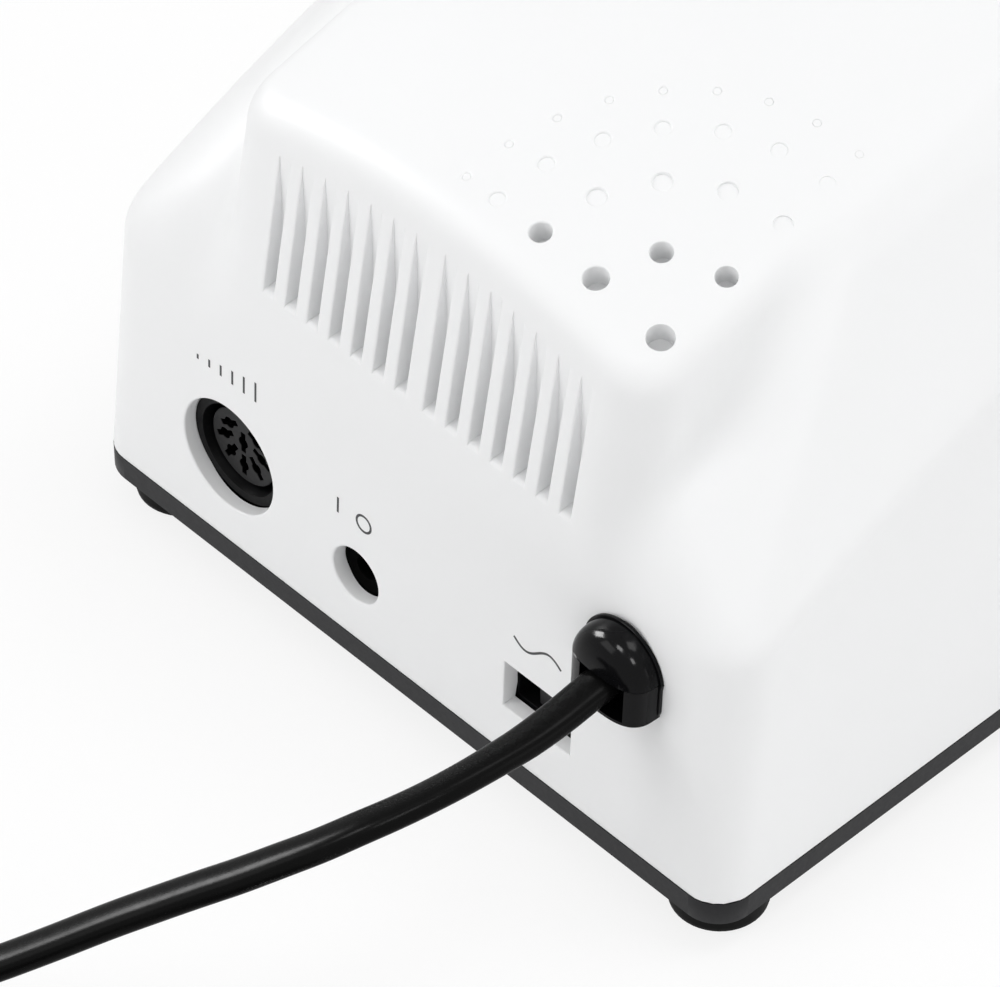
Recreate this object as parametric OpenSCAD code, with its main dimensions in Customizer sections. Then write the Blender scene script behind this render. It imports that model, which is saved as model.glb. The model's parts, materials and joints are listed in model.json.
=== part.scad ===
// Desktop control box of a nail drill: white shell on a black base, controls on a sloping
// panel at the user side, foot sockets, voltage selector and mains lead at the rear.
// Millimetres, +Z up, user side toward -Y, mains side toward +Y, standing on its feet.

/* [Case] */
// Width of the case at its lower edge
case_w = 116.5; // [100:0.5:130]
// Depth of the case, front wall to rear wall
case_d = 150; // [140:1:160]
// Wall thickness of the shell
wall = 2; // [1.6:0.1:2.6]
// Rounding of the upright corners
corner_r = 5.3; // [4:0.1:7]
// Lean of the rear and front walls per millimetre of height
draft = 0.04; // [0.03:0.005:0.05]
// Lean of the side walls per millimetre of height
side_draft = 0.03; // [0.02:0.005:0.04]
// Height of the bonnet top at the rear, above the shell's lower edge
bonnet_z = 75.2; // [72:0.1:78]
// Half width of the bonnet
bonnet_half = 37; // [35:0.5:39]
// Rise of the bonnet top per millimetre toward the user
top_rise = 0.25; // [0.2:0.01:0.28]
// Radius of the crown across the top
crown_r = 140; // [120:1:180]
// Distance of the top's front edge from the rear wall
ridge_y = 72; // [66:1:78]
// Height of the front wall, where the control panel starts
lip_z = 28; // [26:0.5:30]
// Thickness of the base plate
base_t = 3.6; // [3.2:0.1:4]
// Gap between the base plate's locating rim and the shell
rim_gap = 0.4; // [0.3:0.05:0.6]
// Height of a rubber foot
foot_h = 5; // [4:0.1:6]
// Radius of a rubber foot
foot_r = 6.6; // [6:0.1:7.5]

/* [Rear openings] */
// Radius of the opening for the round foot socket
din_r = 8.5; // [8:0.1:9]
// Radius of the opening for the jack
jack_r = 4.2; // [3.8:0.1:4.6]
// Width of the selector window
sel_w = 12; // [11:0.1:12.6]
// Height of the selector window
sel_h = 7.7; // [7:0.1:8.2]
// Radius of the hole for the cord bushing
bush_r = 6.2; // [6:0.1:6.3]
// How far the cord bushing stands out of the rear wall
bush_nose = 5; // [4.4:0.1:5.4]
// Distance between vent slots
slot_pitch = 4.02; // [3.9:0.01:4.2]
// Width of a vent slot
slot_w = 1.9; // [1.7:0.1:2.4]
// Extra width of the middle rib between the slots
slot_mid = 1.07; // [0.8:0.01:1.4]
// Distance of the slots' blind backs from the rear wall
slot_back = 6.8; // [6:0.05:7.5]
// Depth of the deep holes on top
hole_depth = 4; // [3:0.1:4.5]

/* [Inside] */
// Width of the transformer core
trafo_w = 48; // [42:1:54]
// Thickness of the transformer core
trafo_t = 25; // [20:1:27]
// Height of the transformer core
trafo_h = 40; // [36:1:44]
// Thickness of the transformer winding
winding_t = 8; // [6:0.5:9]
// Width of the main board
main_w = 92; // [88:1:96]
// Depth of the main board
main_d = 46; // [44:1:48]
// Height of the main board above the base plate
main_z = 8; // [6:0.5:10]
// Thickness of the boards
board_t = 1.6; // [1.2:0.1:2]
// Width of the control board
ctrl_len = 40; // [38:1:42]
// Depth of the control board below the panel
ctrl_drop = 16; // [15:0.5:18]

/* [Controls] */
// Radius of the speed knob
knob_r = 18; // [16:0.5:19]
// Height of the speed knob
knob_h = 14; // [12:0.5:16]
// Radius of the potentiometer shaft
shaft_r = 3; // [2.9:0.05:3.1]
// Radial clearance of the shaft and of the rocker pins
run_gap = 0.05; // [0.03:0.01:0.08]
// Side clearance around rockers, button and slider
move_gap = 0.35; // [0.3:0.05:0.5]
// Radius of the push button
button_r = 5; // [4.5:0.1:5.5]
// Travel of the push button
button_travel = 2; // [1.5:0.1:2.5]
// Swing of a rocker from one stop to the other in degrees
rocker_swing = 16; // [12:1:18]
// Travel of the voltage selector's slider
sel_travel = 2.8; // [2.4:0.1:3.4]
// How far the handpiece socket stands out of the case
sock_nose = 4; // [3.5:0.1:5]

/* [Cord] */
// Width of the flat cord
cord_a = 5.2; // [5:0.1:5.4]
// Thickness of the flat cord
cord_b = 3.4; // [3.2:0.1:3.6]
// Outer radius of the coil at the middle of the cord
coil_r = 38.8; // [37:0.1:41]
// Distance between turns of the coil
coil_pitch = 5.9; // [5.7:0.1:6.4]
// Distance between the layers of the coil
coil_layer = 4; // [3.9:0.1:4.6]

/* [Hidden] */
$fn = 48;
big = 300;
eps = 0.01;
z_shift = base_t + foot_h;
y_shift = case_d / 2;
floor_z = -z_shift;
hw = case_w / 2;

// Bonnet top, shoulders, rear scoops and vent face
bonnet_y = 9;
ridge_z = bonnet_z + top_rise * (ridge_y - bonnet_y);
top_tilt = atan(top_rise);
shoulder_a = 51.4;
shoulder_rise = [0.519, 0.3, -0.56];
shoulder_crease = [[-7.2, 39.9], [-40, 55], [-ridge_y, 64]];
shoulder_at = [for (c = shoulder_crease) [hw - side_draft * c[1], c[0], c[1]]];
ramp_rise = 0.985;
ramp_z = 42;
vent_lean = 0.176;
vent_k = 5.51;

// Control panel, from the front wall's top edge to the ridge
panel_run = case_d - draft * lip_z - ridge_y;
panel_rise = ridge_z - lip_z;
panel_angle = atan(panel_rise / panel_run);
panel_len = norm([panel_run, panel_rise]);
pc_y = -ridge_y - panel_run / 2;
pc_z = ridge_z - panel_rise / 2;

// Rear fittings: across, up
din = [hw - 26, 14.85];
jack = [8, 11.1];
sel = [-hw + 32.95, 12.05];
bush = [-hw + 18.35, 31.2];
part_z = 1.1;
chan_z = part_z - cord_b / 2;
slot_n = 14;
slot_z0 = 46.8;
slot_shift = -0.97;
slot_bow = 0.59;
board_y = -17;
board_x = [-hw + 21.25, hw - 11.25];
board_z = [2.5, 25.5];
board_post = [[board_x[0] + 5, 21], [board_x[1] - 5, 21]];
post_w = 8;
post_t = 6;

// Fan of holes on top
fan_e = [-32.5, -13.6];
fan_rad = [11, 20.5, 28, 33.4];
fan_r = [1.45, 1.3, 1.1, 0.55];
fan_depth = [hole_depth, 0.8, 0.5, 0.4];
hole_skin = 1.2;

// Feet and case screws
foot_in = 7.85;
foot_x = hw - foot_in;
foot_y = 8.2;
screw_r = 1.5;
screw_gap = 0.3;
screw_len = 20;
head_r = 2.8;
head_h = 2;
boss_r = 5.6;
feet_at = [for (sx = [-1, 1]) for (y = [-foot_y, -case_d + foot_y]) [sx * foot_x, y]];

// Controls: right, up the slope
knob_at = [14, 6];
button_at = [14, -26];
lamp_at = [14, 34];
lamp_r = 2.5;
rocker_x = -20;
power_v = -22;
dir_v = 14;
ctrl_w = -ctrl_drop;
ctrl_u = -9;
ctrl_v = [-panel_len / 2 + 13.7, panel_len / 2 - 5.7];
ctrl_inset = 4;
ctrl_posts = [for (u = [ctrl_u + ctrl_inset, ctrl_u + ctrl_len - ctrl_inset])
  for (v = [ctrl_v[0] + ctrl_inset, ctrl_v[1] - ctrl_inset]) [u, v]];
small_r = 1.2;
sock = [26, 16];
sock_r = 6;
sock_bore = 3.25;

// Main board and transformer
main_y = -case_d + 22;
main_top = main_z + board_t;
main_inset = 4;
main_posts = [for (sx = [-1, 1]) for (y = [main_y + main_inset, main_y + main_d - main_inset])
  [sx * (main_w / 2 - main_inset), y]];
board_r = 1.4;
head_ratio = 1.9;
trafo = [-10, -48];
strap_t = 1.2;
strap_d = 12;
strap_x = trafo_w / 2 + strap_d / 2 + 1;

// Places rear-wall coordinates in the standing frame
module place() {
  translate([0, y_shift, z_shift]) children();
}

// Places panel coordinates: u to the right, v up the slope, w out of the panel
module on_panel(u = 0, v = 0, w = 0) {
  translate([0, pc_y, pc_z]) rotate([panel_angle, 0, 0]) translate([u, v, w]) children();
}

// Cylinder lying along Y, from y0 to y1
module rod_y(r, y0, y1, x = 0, z = 0) {
  translate([x, y1, z]) rotate([90, 0, 0]) cylinder(r = r, h = y1 - y0);
}

// Everything on the inner side of a plane, moved inward by off
module half(n, p, off = 0) {
  m = norm(n);
  d = (n[0] * p[0] + n[1] * p[1] + n[2] * p[2]) / m - off;
  rotate([0, acos(n[2] / m), atan2(n[1], n[0])])
    translate([-big, -big, d - 2 * big]) cube([2 * big, 2 * big, 2 * big]);
}

// Outline of the case seen from above, widened by grow
module plan2d(grow) {
  w = hw + grow;
  y1 = grow;
  y0 = -case_d - grow;
  r = corner_r + grow;
  translate([-w + r, y0]) square([2 * w - 2 * r, y1 - y0]);
  translate([-w, y0 + r]) square([2 * w, y1 - y0 - 2 * r]);
  for (sx = [-1, 1]) {
    translate([sx * (w - r), y0 + r]) circle(r);
    translate([sx * (w - r), y1 - r]) circle(r);
  }
}

// Shoulder plane k on one side, through a point of its crease with the side wall
module shoulder(sx, k, off) {
  p = shoulder_at[k];
  half([sx * tan(shoulder_a), shoulder_rise[k], 1], [sx * p[0], p[1], p[2]], off);
}

// Walls, top and panel common to the whole case
module envelope(off, low) {
  intersection() {
    translate([0, 0, low]) linear_extrude(140) plan2d(0.3 - off);
    half([0, 1, draft], [0, 0, 0], off);
    half([0, 1, vent_lean], [0, vent_k, 0], off);
    half([1, 0, side_draft], [hw, 0, 0], off);
    half([-1, 0, side_draft], [-hw, 0, 0], off);
    half([0, -1, draft], [0, -case_d, 0], off);
    half([0, -sin(panel_angle), cos(panel_angle)], [0, -ridge_y, ridge_z], off);
    translate([0, -bonnet_y, bonnet_z]) rotate([90 - top_tilt, 0, 0]) translate([0, -crown_r, 0])
      cylinder(r = crown_r - off, h = 2 * big, center = true, $fn = 96);
  }
}

// Case body: shoulders and rear scoops joined with the bonnet
module body(off, low) {
  intersection() {
    envelope(off, low);
    union() {
      intersection() {
        shoulder(1, 0, off);
        shoulder(-1, 0, off);
        shoulder(1, 1, off);
        shoulder(-1, 1, off);
        shoulder(1, 2, off);
        shoulder(-1, 2, off);
        half([0, ramp_rise, 1], [0, 0, ramp_z], off);
      }
      translate([-bonnet_half + off, -ridge_y, low])
        cube([2 * (bonnet_half - off), 2 * ridge_y, 2 * ridge_z]);
    }
  }
}

// Vent slots: blind, with an upright back that meets the leaning face at the slot's top
slot_mean = (slot_n - 1) / 2;
function slot_x(i) = (slot_mean - i) * slot_pitch + sign(slot_mean - i) * slot_mid / 2 + slot_shift;
slot_end = max(slot_x(0), -slot_x(slot_n - 1)) + slot_w;

module slots() {
  for (i = [0:slot_n - 1]) {
    u = slot_x(i) / slot_end;
    translate([slot_x(i) - slot_w / 2, slot_bow * u * u - slot_back, slot_z0]) cube([slot_w, 40, 40]);
  }
}

function top_z(x, y) = bonnet_z + top_rise * (-y - bonnet_y) - x * x / (2 * crown_r);

// Cylinder square to the top surface, from w0 to w1 above it
module on_top(x, y, r, w0, w1) {
  n = [x / crown_r, top_rise, 1];
  translate([x, y, top_z(x, y)]) rotate([0, acos(n[2] / norm(n)), atan2(n[1], n[0])])
    translate([0, 0, w0]) cylinder(r = r, h = w1 - w0);
}

// Fan of holes round one hole, as [x, y, radius, depth]: finer and shallower outward
fan_holes = concat([[fan_e[0], fan_e[1], 1.8, hole_depth]],
  [for (k = [0:3]) for (j = [0:2 * k + 2]) let(a = 90 * j / (2 * k + 2), first = j == 0 && k < 2)
    [fan_e[0] + fan_rad[k] * cos(a), fan_e[1] - fan_rad[k] * sin(a),
     fan_r[k] + (first ? 0.2 : 0), first ? hole_depth : fan_depth[k]]]);

module upper_shell() {
  color([0.95, 0.95, 0.95]) place() difference() {
    union() {
      difference() {
        body(0, 0);
        body(wall, -1);
      }
      intersection() {
        body(wall / 2, 0);
        union() {
          for (p = feet_at) translate([p[0], p[1], 0]) cylinder(r = boss_r, h = 100);
          for (p = ctrl_posts) on_panel(p[0], p[1], ctrl_w) cylinder(r = 3, h = ctrl_drop);
          translate([-slot_end, -slot_back - wall, slot_z0 - wall])
            cube([2 * slot_end, slot_back + wall, 40]);
          for (h = fan_holes) if (h[3] == hole_depth)
            on_top(h[0], h[1], h[2] + hole_skin, -hole_depth - hole_skin, 0);
        }
      }
    }
    for (p = feet_at) translate([p[0], p[1], -1]) cylinder(r = screw_r, h = screw_len - base_t);
    slots();
    for (h = fan_holes) on_top(h[0], h[1], h[2], -h[3], 6);
    rod_y(din_r, -6, 4, din[0], din[1]);
    rod_y(jack_r, -6, 4, jack[0], jack[1]);
    translate([sel[0] - sel_w / 2, -6, sel[1] - sel_h / 2]) cube([sel_w, 10, sel_h]);
    rod_y(bush_r, -8, 4, bush[0], bush[1]);
    rod_y(sock_r + 0.2, -case_d - 4, -case_d + 8, sock[0], sock[1]);
    on_panel(knob_at[0], knob_at[1], -6) cylinder(r = pot_r + 0.2, h = 12);
    on_panel(button_at[0], button_at[1], -6) cylinder(r = button_r + move_gap, h = 12);
    on_panel(lamp_at[0], lamp_at[1], -6) cylinder(r = lamp_r + 0.1, h = 12);
    for (v = [power_v, dir_v]) on_panel(rocker_x, v, 0) cube([key_w + 0.4, key_l + 0.4, 14], center = true);
    for (p = ctrl_posts) on_panel(p[0], p[1], ctrl_w - 1) cylinder(r = small_r, h = 10);
  }
}

rim_h = 3;
rim_t = 1.5;

module base_plate() {
  color([0.13, 0.13, 0.14]) place() difference() {
    union() {
      translate([0, 0, -base_t]) linear_extrude(base_t) plan2d(0);
      difference() {
        translate([0, 0, -eps]) linear_extrude(rim_h) plan2d(-wall - rim_gap);
        translate([0, 0, -1]) linear_extrude(rim_h + 2) plan2d(-wall - rim_gap - rim_t);
        for (p = feet_at) translate([p[0], p[1], rim_h / 2 + eps])
          cube([4 * boss_r, 4 * boss_r, rim_h], center = true);
      }
      for (p = main_posts) translate([p[0], p[1], -eps]) cylinder(r = 3.4, h = main_z + eps);
      for (p = board_post) translate([p[0] - post_w / 2, board_y - board_t - post_t, -eps])
        cube([post_w, post_t, p[1] + 3]);
    }
    for (p = feet_at) translate([p[0], p[1], -base_t - 1])
      cylinder(r = screw_r + screw_gap, h = base_t + 2);
    for (p = main_posts) translate([p[0], p[1], 1]) cylinder(r = board_r, h = main_z + 1);
    for (p = board_post) rod_y(small_r, board_y - board_t - 5.4, board_y, p[0], p[1]);
    for (sx = [-1, 1]) translate([trafo[0] + sx * strap_x, trafo[1], -2.6]) cylinder(r = board_r, h = 4);
    for (i = [-3:3]) translate([trafo[0] + 8 * i - 1.5, trafo[1] - 40, -base_t - 1])
      cube([3, 18, base_t + 2]);
  }
}

foot_sink = 3;

module feet() {
  color([0.06, 0.06, 0.06]) place() for (p = feet_at) translate([p[0], p[1], floor_z]) difference() {
    union() {
      cylinder(r1 = foot_r - 0.6, r2 = foot_r, h = 1);
      translate([0, 0, 1]) cylinder(r = foot_r, h = foot_h - 1);
    }
    translate([0, 0, -1]) cylinder(r = head_r + 0.6, h = foot_sink + 1);
    translate([0, 0, -1]) cylinder(r = screw_r + screw_gap, h = foot_h + 2);
  }
}

module case_screws() {
  color([0.6, 0.6, 0.62]) place() for (p = feet_at) translate([p[0], p[1], floor_z + foot_sink])
    difference() {
      union() {
        translate([0, 0, -head_h]) cylinder(r = head_r, h = head_h);
        cylinder(r = screw_r, h = screw_len);
      }
      for (a = [0, 90]) rotate([0, 0, a]) translate([0, 0, -head_h - 1])
        cube([0.7, 3.6, 3.2], center = true);
    }
}

// Bushing sizes: body and flange outlines, front rounding, cord slot
bush_body_r = 6.45;
bush_low = 5;
bush_round = 2.4;
bush_corner = 1.8;
bush_flat = 0.25;
flange_grow = 0.35;
flange_t = 0.5;
neck_len = 3.4;
neck_gap = 0.25;
cord_in = 7;
leg_gap = 7.3;
leg_shift = -0.6;
leg_back = 1.2;
leg_floor = 0.7;

// Outline with a round top, upright sides and rounded lower corners
module arch2d(r, low) {
  side = r - bush_flat;
  circle(r);
  translate([-side, bush_corner - low]) square([2 * side, low - bush_corner]);
  translate([bush_corner - side, -low]) square([2 * (side - bush_corner), low]);
  for (sx = [-1, 1]) translate([sx * (side - bush_corner), bush_corner - low]) circle(bush_corner);
}

// Seats children square on the drafted rear wall, with y out of the wall
module on_rear(x, z) {
  translate([x, -draft * z, z]) rotate([atan(draft), 0, 0]) children();
}

// Extrudes an outline of across and up along y, from y0 to y1
module along_y(y0, y1) {
  translate([0, y1, 0]) rotate([90, 0, 0]) linear_extrude(y1 - y0) children();
}

// Neck in the wall and flange against it, common to both halves
module bushing_seat() {
  along_y(-neck_len, eps) circle(bush_r - neck_gap);
  along_y(0, flange_t) arch2d(bush_body_r + flange_grow, bush_low + flange_grow);
}

// Everything above the parting plane, or below it
module bushing_side(up) {
  translate([bush[0] - 20, -20, bush[1] + part_z - (up ? 0 : 40)]) cube([40, 40, 40]);
}

module bushing_upper() {
  dome = concat([[0, 0], [bush_body_r, 0]],
    [for (a = [0:15:90]) [bush_body_r - bush_round * (1 - cos(a)), bush_nose - bush_round * (1 - sin(a))]],
    [[0, bush_nose]]);
  color([0.03, 0.03, 0.03]) place() intersection() {
    on_rear(bush[0], bush[1]) {
      bushing_seat();
      rotate([-90, 0, 0]) rotate_extrude() polygon(dome);
    }
    bushing_side(true);
  }
}

module bushing_lower() {
  side = bush_body_r - bush_flat;
  color([0.03, 0.03, 0.03]) place() difference() {
    intersection() {
      on_rear(bush[0], bush[1]) {
        bushing_seat();
        intersection() {
          along_y(0, bush_nose) arch2d(bush_body_r, bush_low);
          translate([0, 0, -bush_low - 1]) linear_extrude(bush_low + part_z + 2) {
            translate([-side - 1, 0]) square([2 * side + 2, bush_nose - bush_round]);
            translate([bush_round - side, 0]) square([2 * (side - bush_round), bush_nose]);
            for (sx = [-1, 1]) translate([sx * (side - bush_round), bush_nose - bush_round])
              circle(bush_round);
          }
        }
      }
      bushing_side(false);
    }
    on_rear(bush[0], bush[1]) translate([leg_shift - leg_gap / 2, leg_back, leg_floor - bush_low])
      cube([leg_gap, bush_nose, 2 * bush_low]);
    translate([bush[0] - cord_a / 2, -12, bush[1] + chan_z - cord_b / 2]) cube([cord_a, 30, cord_b]);
  }
}

// Unit vector
function unit(v) = v / norm(v);

// Direction of a line of points at point i
function dir_at(p, i) = let(n = len(p) - 1)
  unit(i == 0 ? p[1] - p[0] : i == n ? p[n] - p[n - 1] : unit(p[i + 1] - p[i]) + unit(p[i] - p[i - 1]));

// Ring of an oval lying flat, square to the line at point i
function ring_at(p, i, a, b, n) = let(t = dir_at(p, i), s = unit(cross([0, 0, 1], t)), u = cross(t, s))
  [for (k = [0:n - 1]) p[i] + s * (a / 2 * cos(360 * k / n)) + u * (b / 2 * sin(360 * k / n))];

// Tube of oval section along a line of points
module tube(p, a, b, n) {
  m = len(p);
  pts = [for (i = [0:m - 1]) each ring_at(p, i, a, b, n)];
  sides = [for (i = [0:m - 2]) for (k = [0:n - 1])
    [i * n + k, (i + 1) * n + k, (i + 1) * n + (k + 1) % n, i * n + (k + 1) % n]];
  start = [[for (k = [0:n - 1]) k]];
  stop = [[for (k = [n - 1:-1:0]) (m - 1) * n + k]];
  polyhedron(points = pts, faces = concat(sides, start, stop), convexity = 10);
}

cord_x = bush[0];
cord_z = bush[1] + chan_z;
lay_z = floor_z + cord_b / 2 + 0.9;
coil_c = [-11.4, 124];
coil_turns = 5.5;
coil_steps = 24;
coil_a0 = -30;

// Height of the coil at turn t: climbs a layer in the half turn where the spiral turns back
function coil_up(t) = let(s = (t - coil_turns / 2 + 0.25) / 0.5, q = min(1, max(0, s))) q * q * (3 - 2 * q);
function coil_rad(t) = coil_r - coil_pitch * (coil_turns / 2 - sqrt(pow(t - coil_turns / 2, 2) + 0.0004));
function coil_pt(t) = [coil_c[0] + coil_rad(t) * cos(coil_a0 + 360 * t),
  coil_c[1] + coil_rad(t) * sin(coil_a0 + 360 * t), lay_z + coil_layer * coil_up(t)];
coil_n = round(coil_turns * coil_steps);
coil_mid = [for (i = [0:coil_n]) coil_pt(i / coil_steps)];
coil_in = coil_mid[0];
coil_out = coil_mid[coil_n];
coil_in_dir = dir_at(coil_mid, 0);
coil_out_dir = dir_at(coil_mid, coil_n);

// Least gap between turns, by the oval's own measure
coil_gap = min([for (i = [0:coil_n - 13]) for (j = [i + 13:min(coil_n, i + 60)])
  let(d = coil_mid[j] - coil_mid[i])
  (sqrt(pow(norm([d[0], d[1]]) / cord_a, 2) + pow(d[2] / cord_b, 2)) - 1) * cord_b]);
echo(coil_gap_mm = coil_gap);

free_line = [[cord_x, -cord_in, cord_z], [cord_x, -3, cord_z], [cord_x, 1, cord_z], [-39.9, 5, 30.3],
  [-39.9, 10, 29.7], [-39.8, 15.5, 29.4], [-39.5, 21, 29.5], [-38.9, 26, 29.4], [-37.9, 30.5, 29],
  [-36.7, 34.5, 28.5], [-35.2, 38.4, 27.8], [-32.8, 42.7, 26.1], [-29.8, 46.5, 23.9],
  [-26.6, 50, 21.4], [-23.1, 53.5, 18.8], [-19.5, 57, 16], [-15.2, 61.3, 12.6], [-10, 66.6, 8.2],
  [-5.6, 71, 4.6], [-0.5, 76.2, 0.8], [5, 82, -2.6], [10.5, 88, -4.8], [15.6, 94.2, -5.8],
  coil_in - 6 * coil_in_dir, coil_in];

tail_line = [coil_out, coil_out + 5 * coil_out_dir, coil_out + 10 * coil_out_dir + [0, 0, -0.5],
  [-52.1, 130.2, -1.4], [-53.4, 125.4, -2.5], [-53.9, 120.2, -3.2], [-53.8, 114.6, -3.3],
  [-53.4, 109.2, -2.7], [-53, 104.4, -1.9], [-53, 100, -1.9]];

function line_len(p) = [for (i = [0:len(p) - 2]) norm(p[i + 1] - p[i])] * [for (i = [0:len(p) - 2]) 1];
echo(cord_length_mm = line_len(free_line) - cord_in + line_len(coil_mid) + line_len(tail_line));

module cord() {
  color([0.05, 0.05, 0.05]) place() tube(free_line, cord_a, cord_b, 12);
}

module cord_coil() {
  color([0.05, 0.05, 0.05]) place() tube(coil_mid, cord_a, cord_b, 6);
}

module cord_tail() {
  color([0.05, 0.05, 0.05]) place() tube(tail_line, cord_a, cord_b, 12);
}

tie_a = 80;
tie_r0 = coil_r - coil_pitch * (coil_turns / 2) - cord_a / 2 - 0.6;
tie_r1 = coil_r + cord_a / 2 + 0.4;
tie_h = cord_b + coil_layer + 0.4;
tie_t = 0.7;
tie_w = 5;

module cord_tie() {
  color([0.08, 0.08, 0.08]) place() translate([coil_c[0], coil_c[1], lay_z - cord_b / 2 - 0.2])
    rotate([0, 0, tie_a]) difference() {
      translate([tie_r0 - tie_t, -tie_w / 2, -tie_t])
        cube([tie_r1 - tie_r0 + 2 * tie_t, tie_w, tie_h + 2 * tie_t]);
      translate([tie_r0, -tie_w, 0]) cube([tie_r1 - tie_r0, 2 * tie_w, tie_h]);
    }
}

plug_y = 100;
plug_x = -53;
plug_w = 35.6;
plug_t = 13.4;
plug_cut = 3.3;
plug_neck = [11, 8, 10];
plug_step = [22, 10, 4];
plug_len = 36;
plug_z = floor_z + plug_t / 2;
rib_pitch = 2.6;
pin_x = 9.3;
plug_pin_r = 2;
pin_root = 28;
pin_len = 27;

module plug_body() {
  u = plug_w / 2;
  v = plug_t / 2;
  c = plug_cut;
  color([0.05, 0.05, 0.05]) place() translate([plug_x, plug_y, plug_z]) rotate([90, 0, 0])
  difference() {
    union() {
      linear_extrude(plug_neck[2]) square([plug_neck[0], plug_neck[1]], center = true);
      translate([0, 0, plug_step[2]]) linear_extrude(plug_neck[2] - plug_step[2] + 1)
        square([plug_step[0], plug_step[1]], center = true);
      translate([0, 0, plug_neck[2]]) linear_extrude(plug_len - plug_neck[2])
        polygon([[-u, c - v], [c - u, -v], [u - c, -v], [u, c - v],
          [u, v - c], [u - c, v], [c - u, v], [-u, v - c]]);
    }
    for (sx = [-1, 1]) translate([sx * pin_x, 0, pin_root]) cylinder(r = plug_pin_r, h = plug_len);
    for (i = [0:1]) for (sx = [-1, 1])
      translate([sx * plug_step[0] / 2, 0, plug_step[2] + 2 + rib_pitch * i])
        cube([3, 20, 1], center = true);
  }
}

module plug_pins() {
  color([0.75, 0.75, 0.76]) place() translate([plug_x, plug_y, plug_z]) rotate([90, 0, 0])
    for (sx = [-1, 1]) translate([sx * pin_x, 0, pin_root]) {
      cylinder(r = plug_pin_r, h = pin_len - 1);
      translate([0, 0, pin_len - 1]) cylinder(r1 = plug_pin_r, r2 = plug_pin_r - 0.8, h = 1);
    }
}

// Sockets: a flange behind the wall and a boss that stands in the wall's hole
socket_seat = -3.05;
socket_face = -2.45;
boss_gap = 0.2;
din_plug_r = [5.6, 6.95];
din_floor = -12.5;

module din_housing() {
  color([0.05, 0.05, 0.05]) place() difference() {
    union() {
      rod_y(din_r + 0.4, board_y, socket_seat, din[0], din[1]);
      rod_y(din_r - boss_gap, board_y, socket_face, din[0], din[1]);
    }
    difference() {
      rod_y(din_plug_r[1], din_floor + 0.5, 0, din[0], din[1]);
      rod_y(din_plug_r[0], din_floor - 1, 1, din[0], din[1]);
    }
    rod_y(din_plug_r[0], din_floor, 0, din[0], din[1]);
  }
}

// Contact places round the socket's middle: across, up, lean of the slit from upright
pin_circle = 3.5;
pin_step = 262 / 6;
pin_lean = [0, 36, 59, 61];
pin_r = 0.8;
pin_slit = [0.5, 3.6];
din_pins = concat([[0, 0.5, 0]],
  [for (i = [-3:3]) let(a = pin_step * i)
    [pin_circle * sin(a), -pin_circle * cos(a), -sign(i) * pin_lean[abs(i)]]]);

// Cylinder at a contact's place, from y0 outward
module at_pin(p, r, y0, y1) {
  rod_y(r, y0, y1, din[0] + p[0], din[1] + p[1]);
}

module din_insert() {
  color([0.2, 0.2, 0.2]) place() difference() {
    rod_y(din_plug_r[0], din_floor, socket_face - 0.4, din[0], din[1]);
    for (p = din_pins) {
      at_pin(p, pin_r, din_floor + 1.5, 0);
      translate([din[0] + p[0], -4, din[1] + p[1]]) rotate([0, p[2], 0])
        cube([pin_slit[0], 6, pin_slit[1]], center = true);
    }
  }
}

module din_contacts() {
  color([0.7, 0.66, 0.5]) place() for (p = din_pins) difference() {
    at_pin(p, pin_r, din_floor + 1.5, din_floor + 5);
    at_pin(p, pin_r - 0.3, din_floor + 2.5, 0);
  }
}

module jack_body() {
  color([0.04, 0.04, 0.04]) place() difference() {
    union() {
      translate([jack[0] - 6, board_y, jack[1] - 6]) cube([12, 11, 12]);
      rod_y(jack_r + 0.4, -6.1, socket_seat, jack[0], jack[1]);
      rod_y(jack_r - boss_gap, -6.1, socket_face, jack[0], jack[1]);
    }
    rod_y(1.8, -14.5, 0, jack[0], jack[1]);
    translate([jack[0] - 0.8, -14, jack[1] - 3.2]) cube([1.6, 6, 2]);
  }
}

module jack_contact() {
  color([0.7, 0.68, 0.6]) place() difference() {
    translate([jack[0] - 0.8, -14, jack[1] - 3.2]) cube([1.6, 6, 1]);
    translate([jack[0] - 1, -10, jack[1] - 2.6]) rotate([20, 0, 0]) cube([2, 4, 2]);
  }
}

sel_face = -2.95;
sel_depth = 5;
sel_rim = 0.3;
sel_slot_h = 7.1;

module selector_body() {
  color([0.05, 0.05, 0.05]) place() difference() {
    translate([sel[0] - 10, board_y, sel[1] - 6]) cube([20, sel_face - board_y, 12]);
    translate([sel[0] - sel_w / 2 + sel_rim, sel_face - sel_depth, sel[1] - sel_slot_h / 2])
      cube([sel_w - 2 * sel_rim, 10, sel_slot_h]);
  }
}

slider_w = sel_w - 2 * sel_rim - sel_travel - 2 * move_gap;

module selector_slider() {
  color([0.09, 0.09, 0.09]) place()
    translate([sel[0] - sel_w / 2 + sel_rim, sel_face - sel_depth, sel[1] - sel_slot_h / 2])
      translate([move_gap, move_gap, move_gap]) difference() {
        cube([slider_w, sel_depth - move_gap - 0.6, sel_slot_h - 2 * move_gap]);
        translate([slider_w / 2 - 0.5, sel_depth - 2.2, -1]) cube([1, 4, sel_slot_h + 2]);
      }
}

module socket_board() {
  color([0.1, 0.3, 0.16]) place() difference() {
    translate([board_x[0], board_y - board_t, board_z[0]])
      cube([board_x[1] - board_x[0], board_t, board_z[1] - board_z[0]]);
    for (p = board_post) rod_y(small_r + screw_gap, board_y - board_t - 1, board_y + 1, p[0], p[1]);
  }
}

// Screw along Y, its head resting on y
module screw_y(x, y, z, r, len) {
  rod_y(r, y - len, y, x, z);
  rod_y(r * head_ratio, y, y + 1.6, x, z);
}

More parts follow.
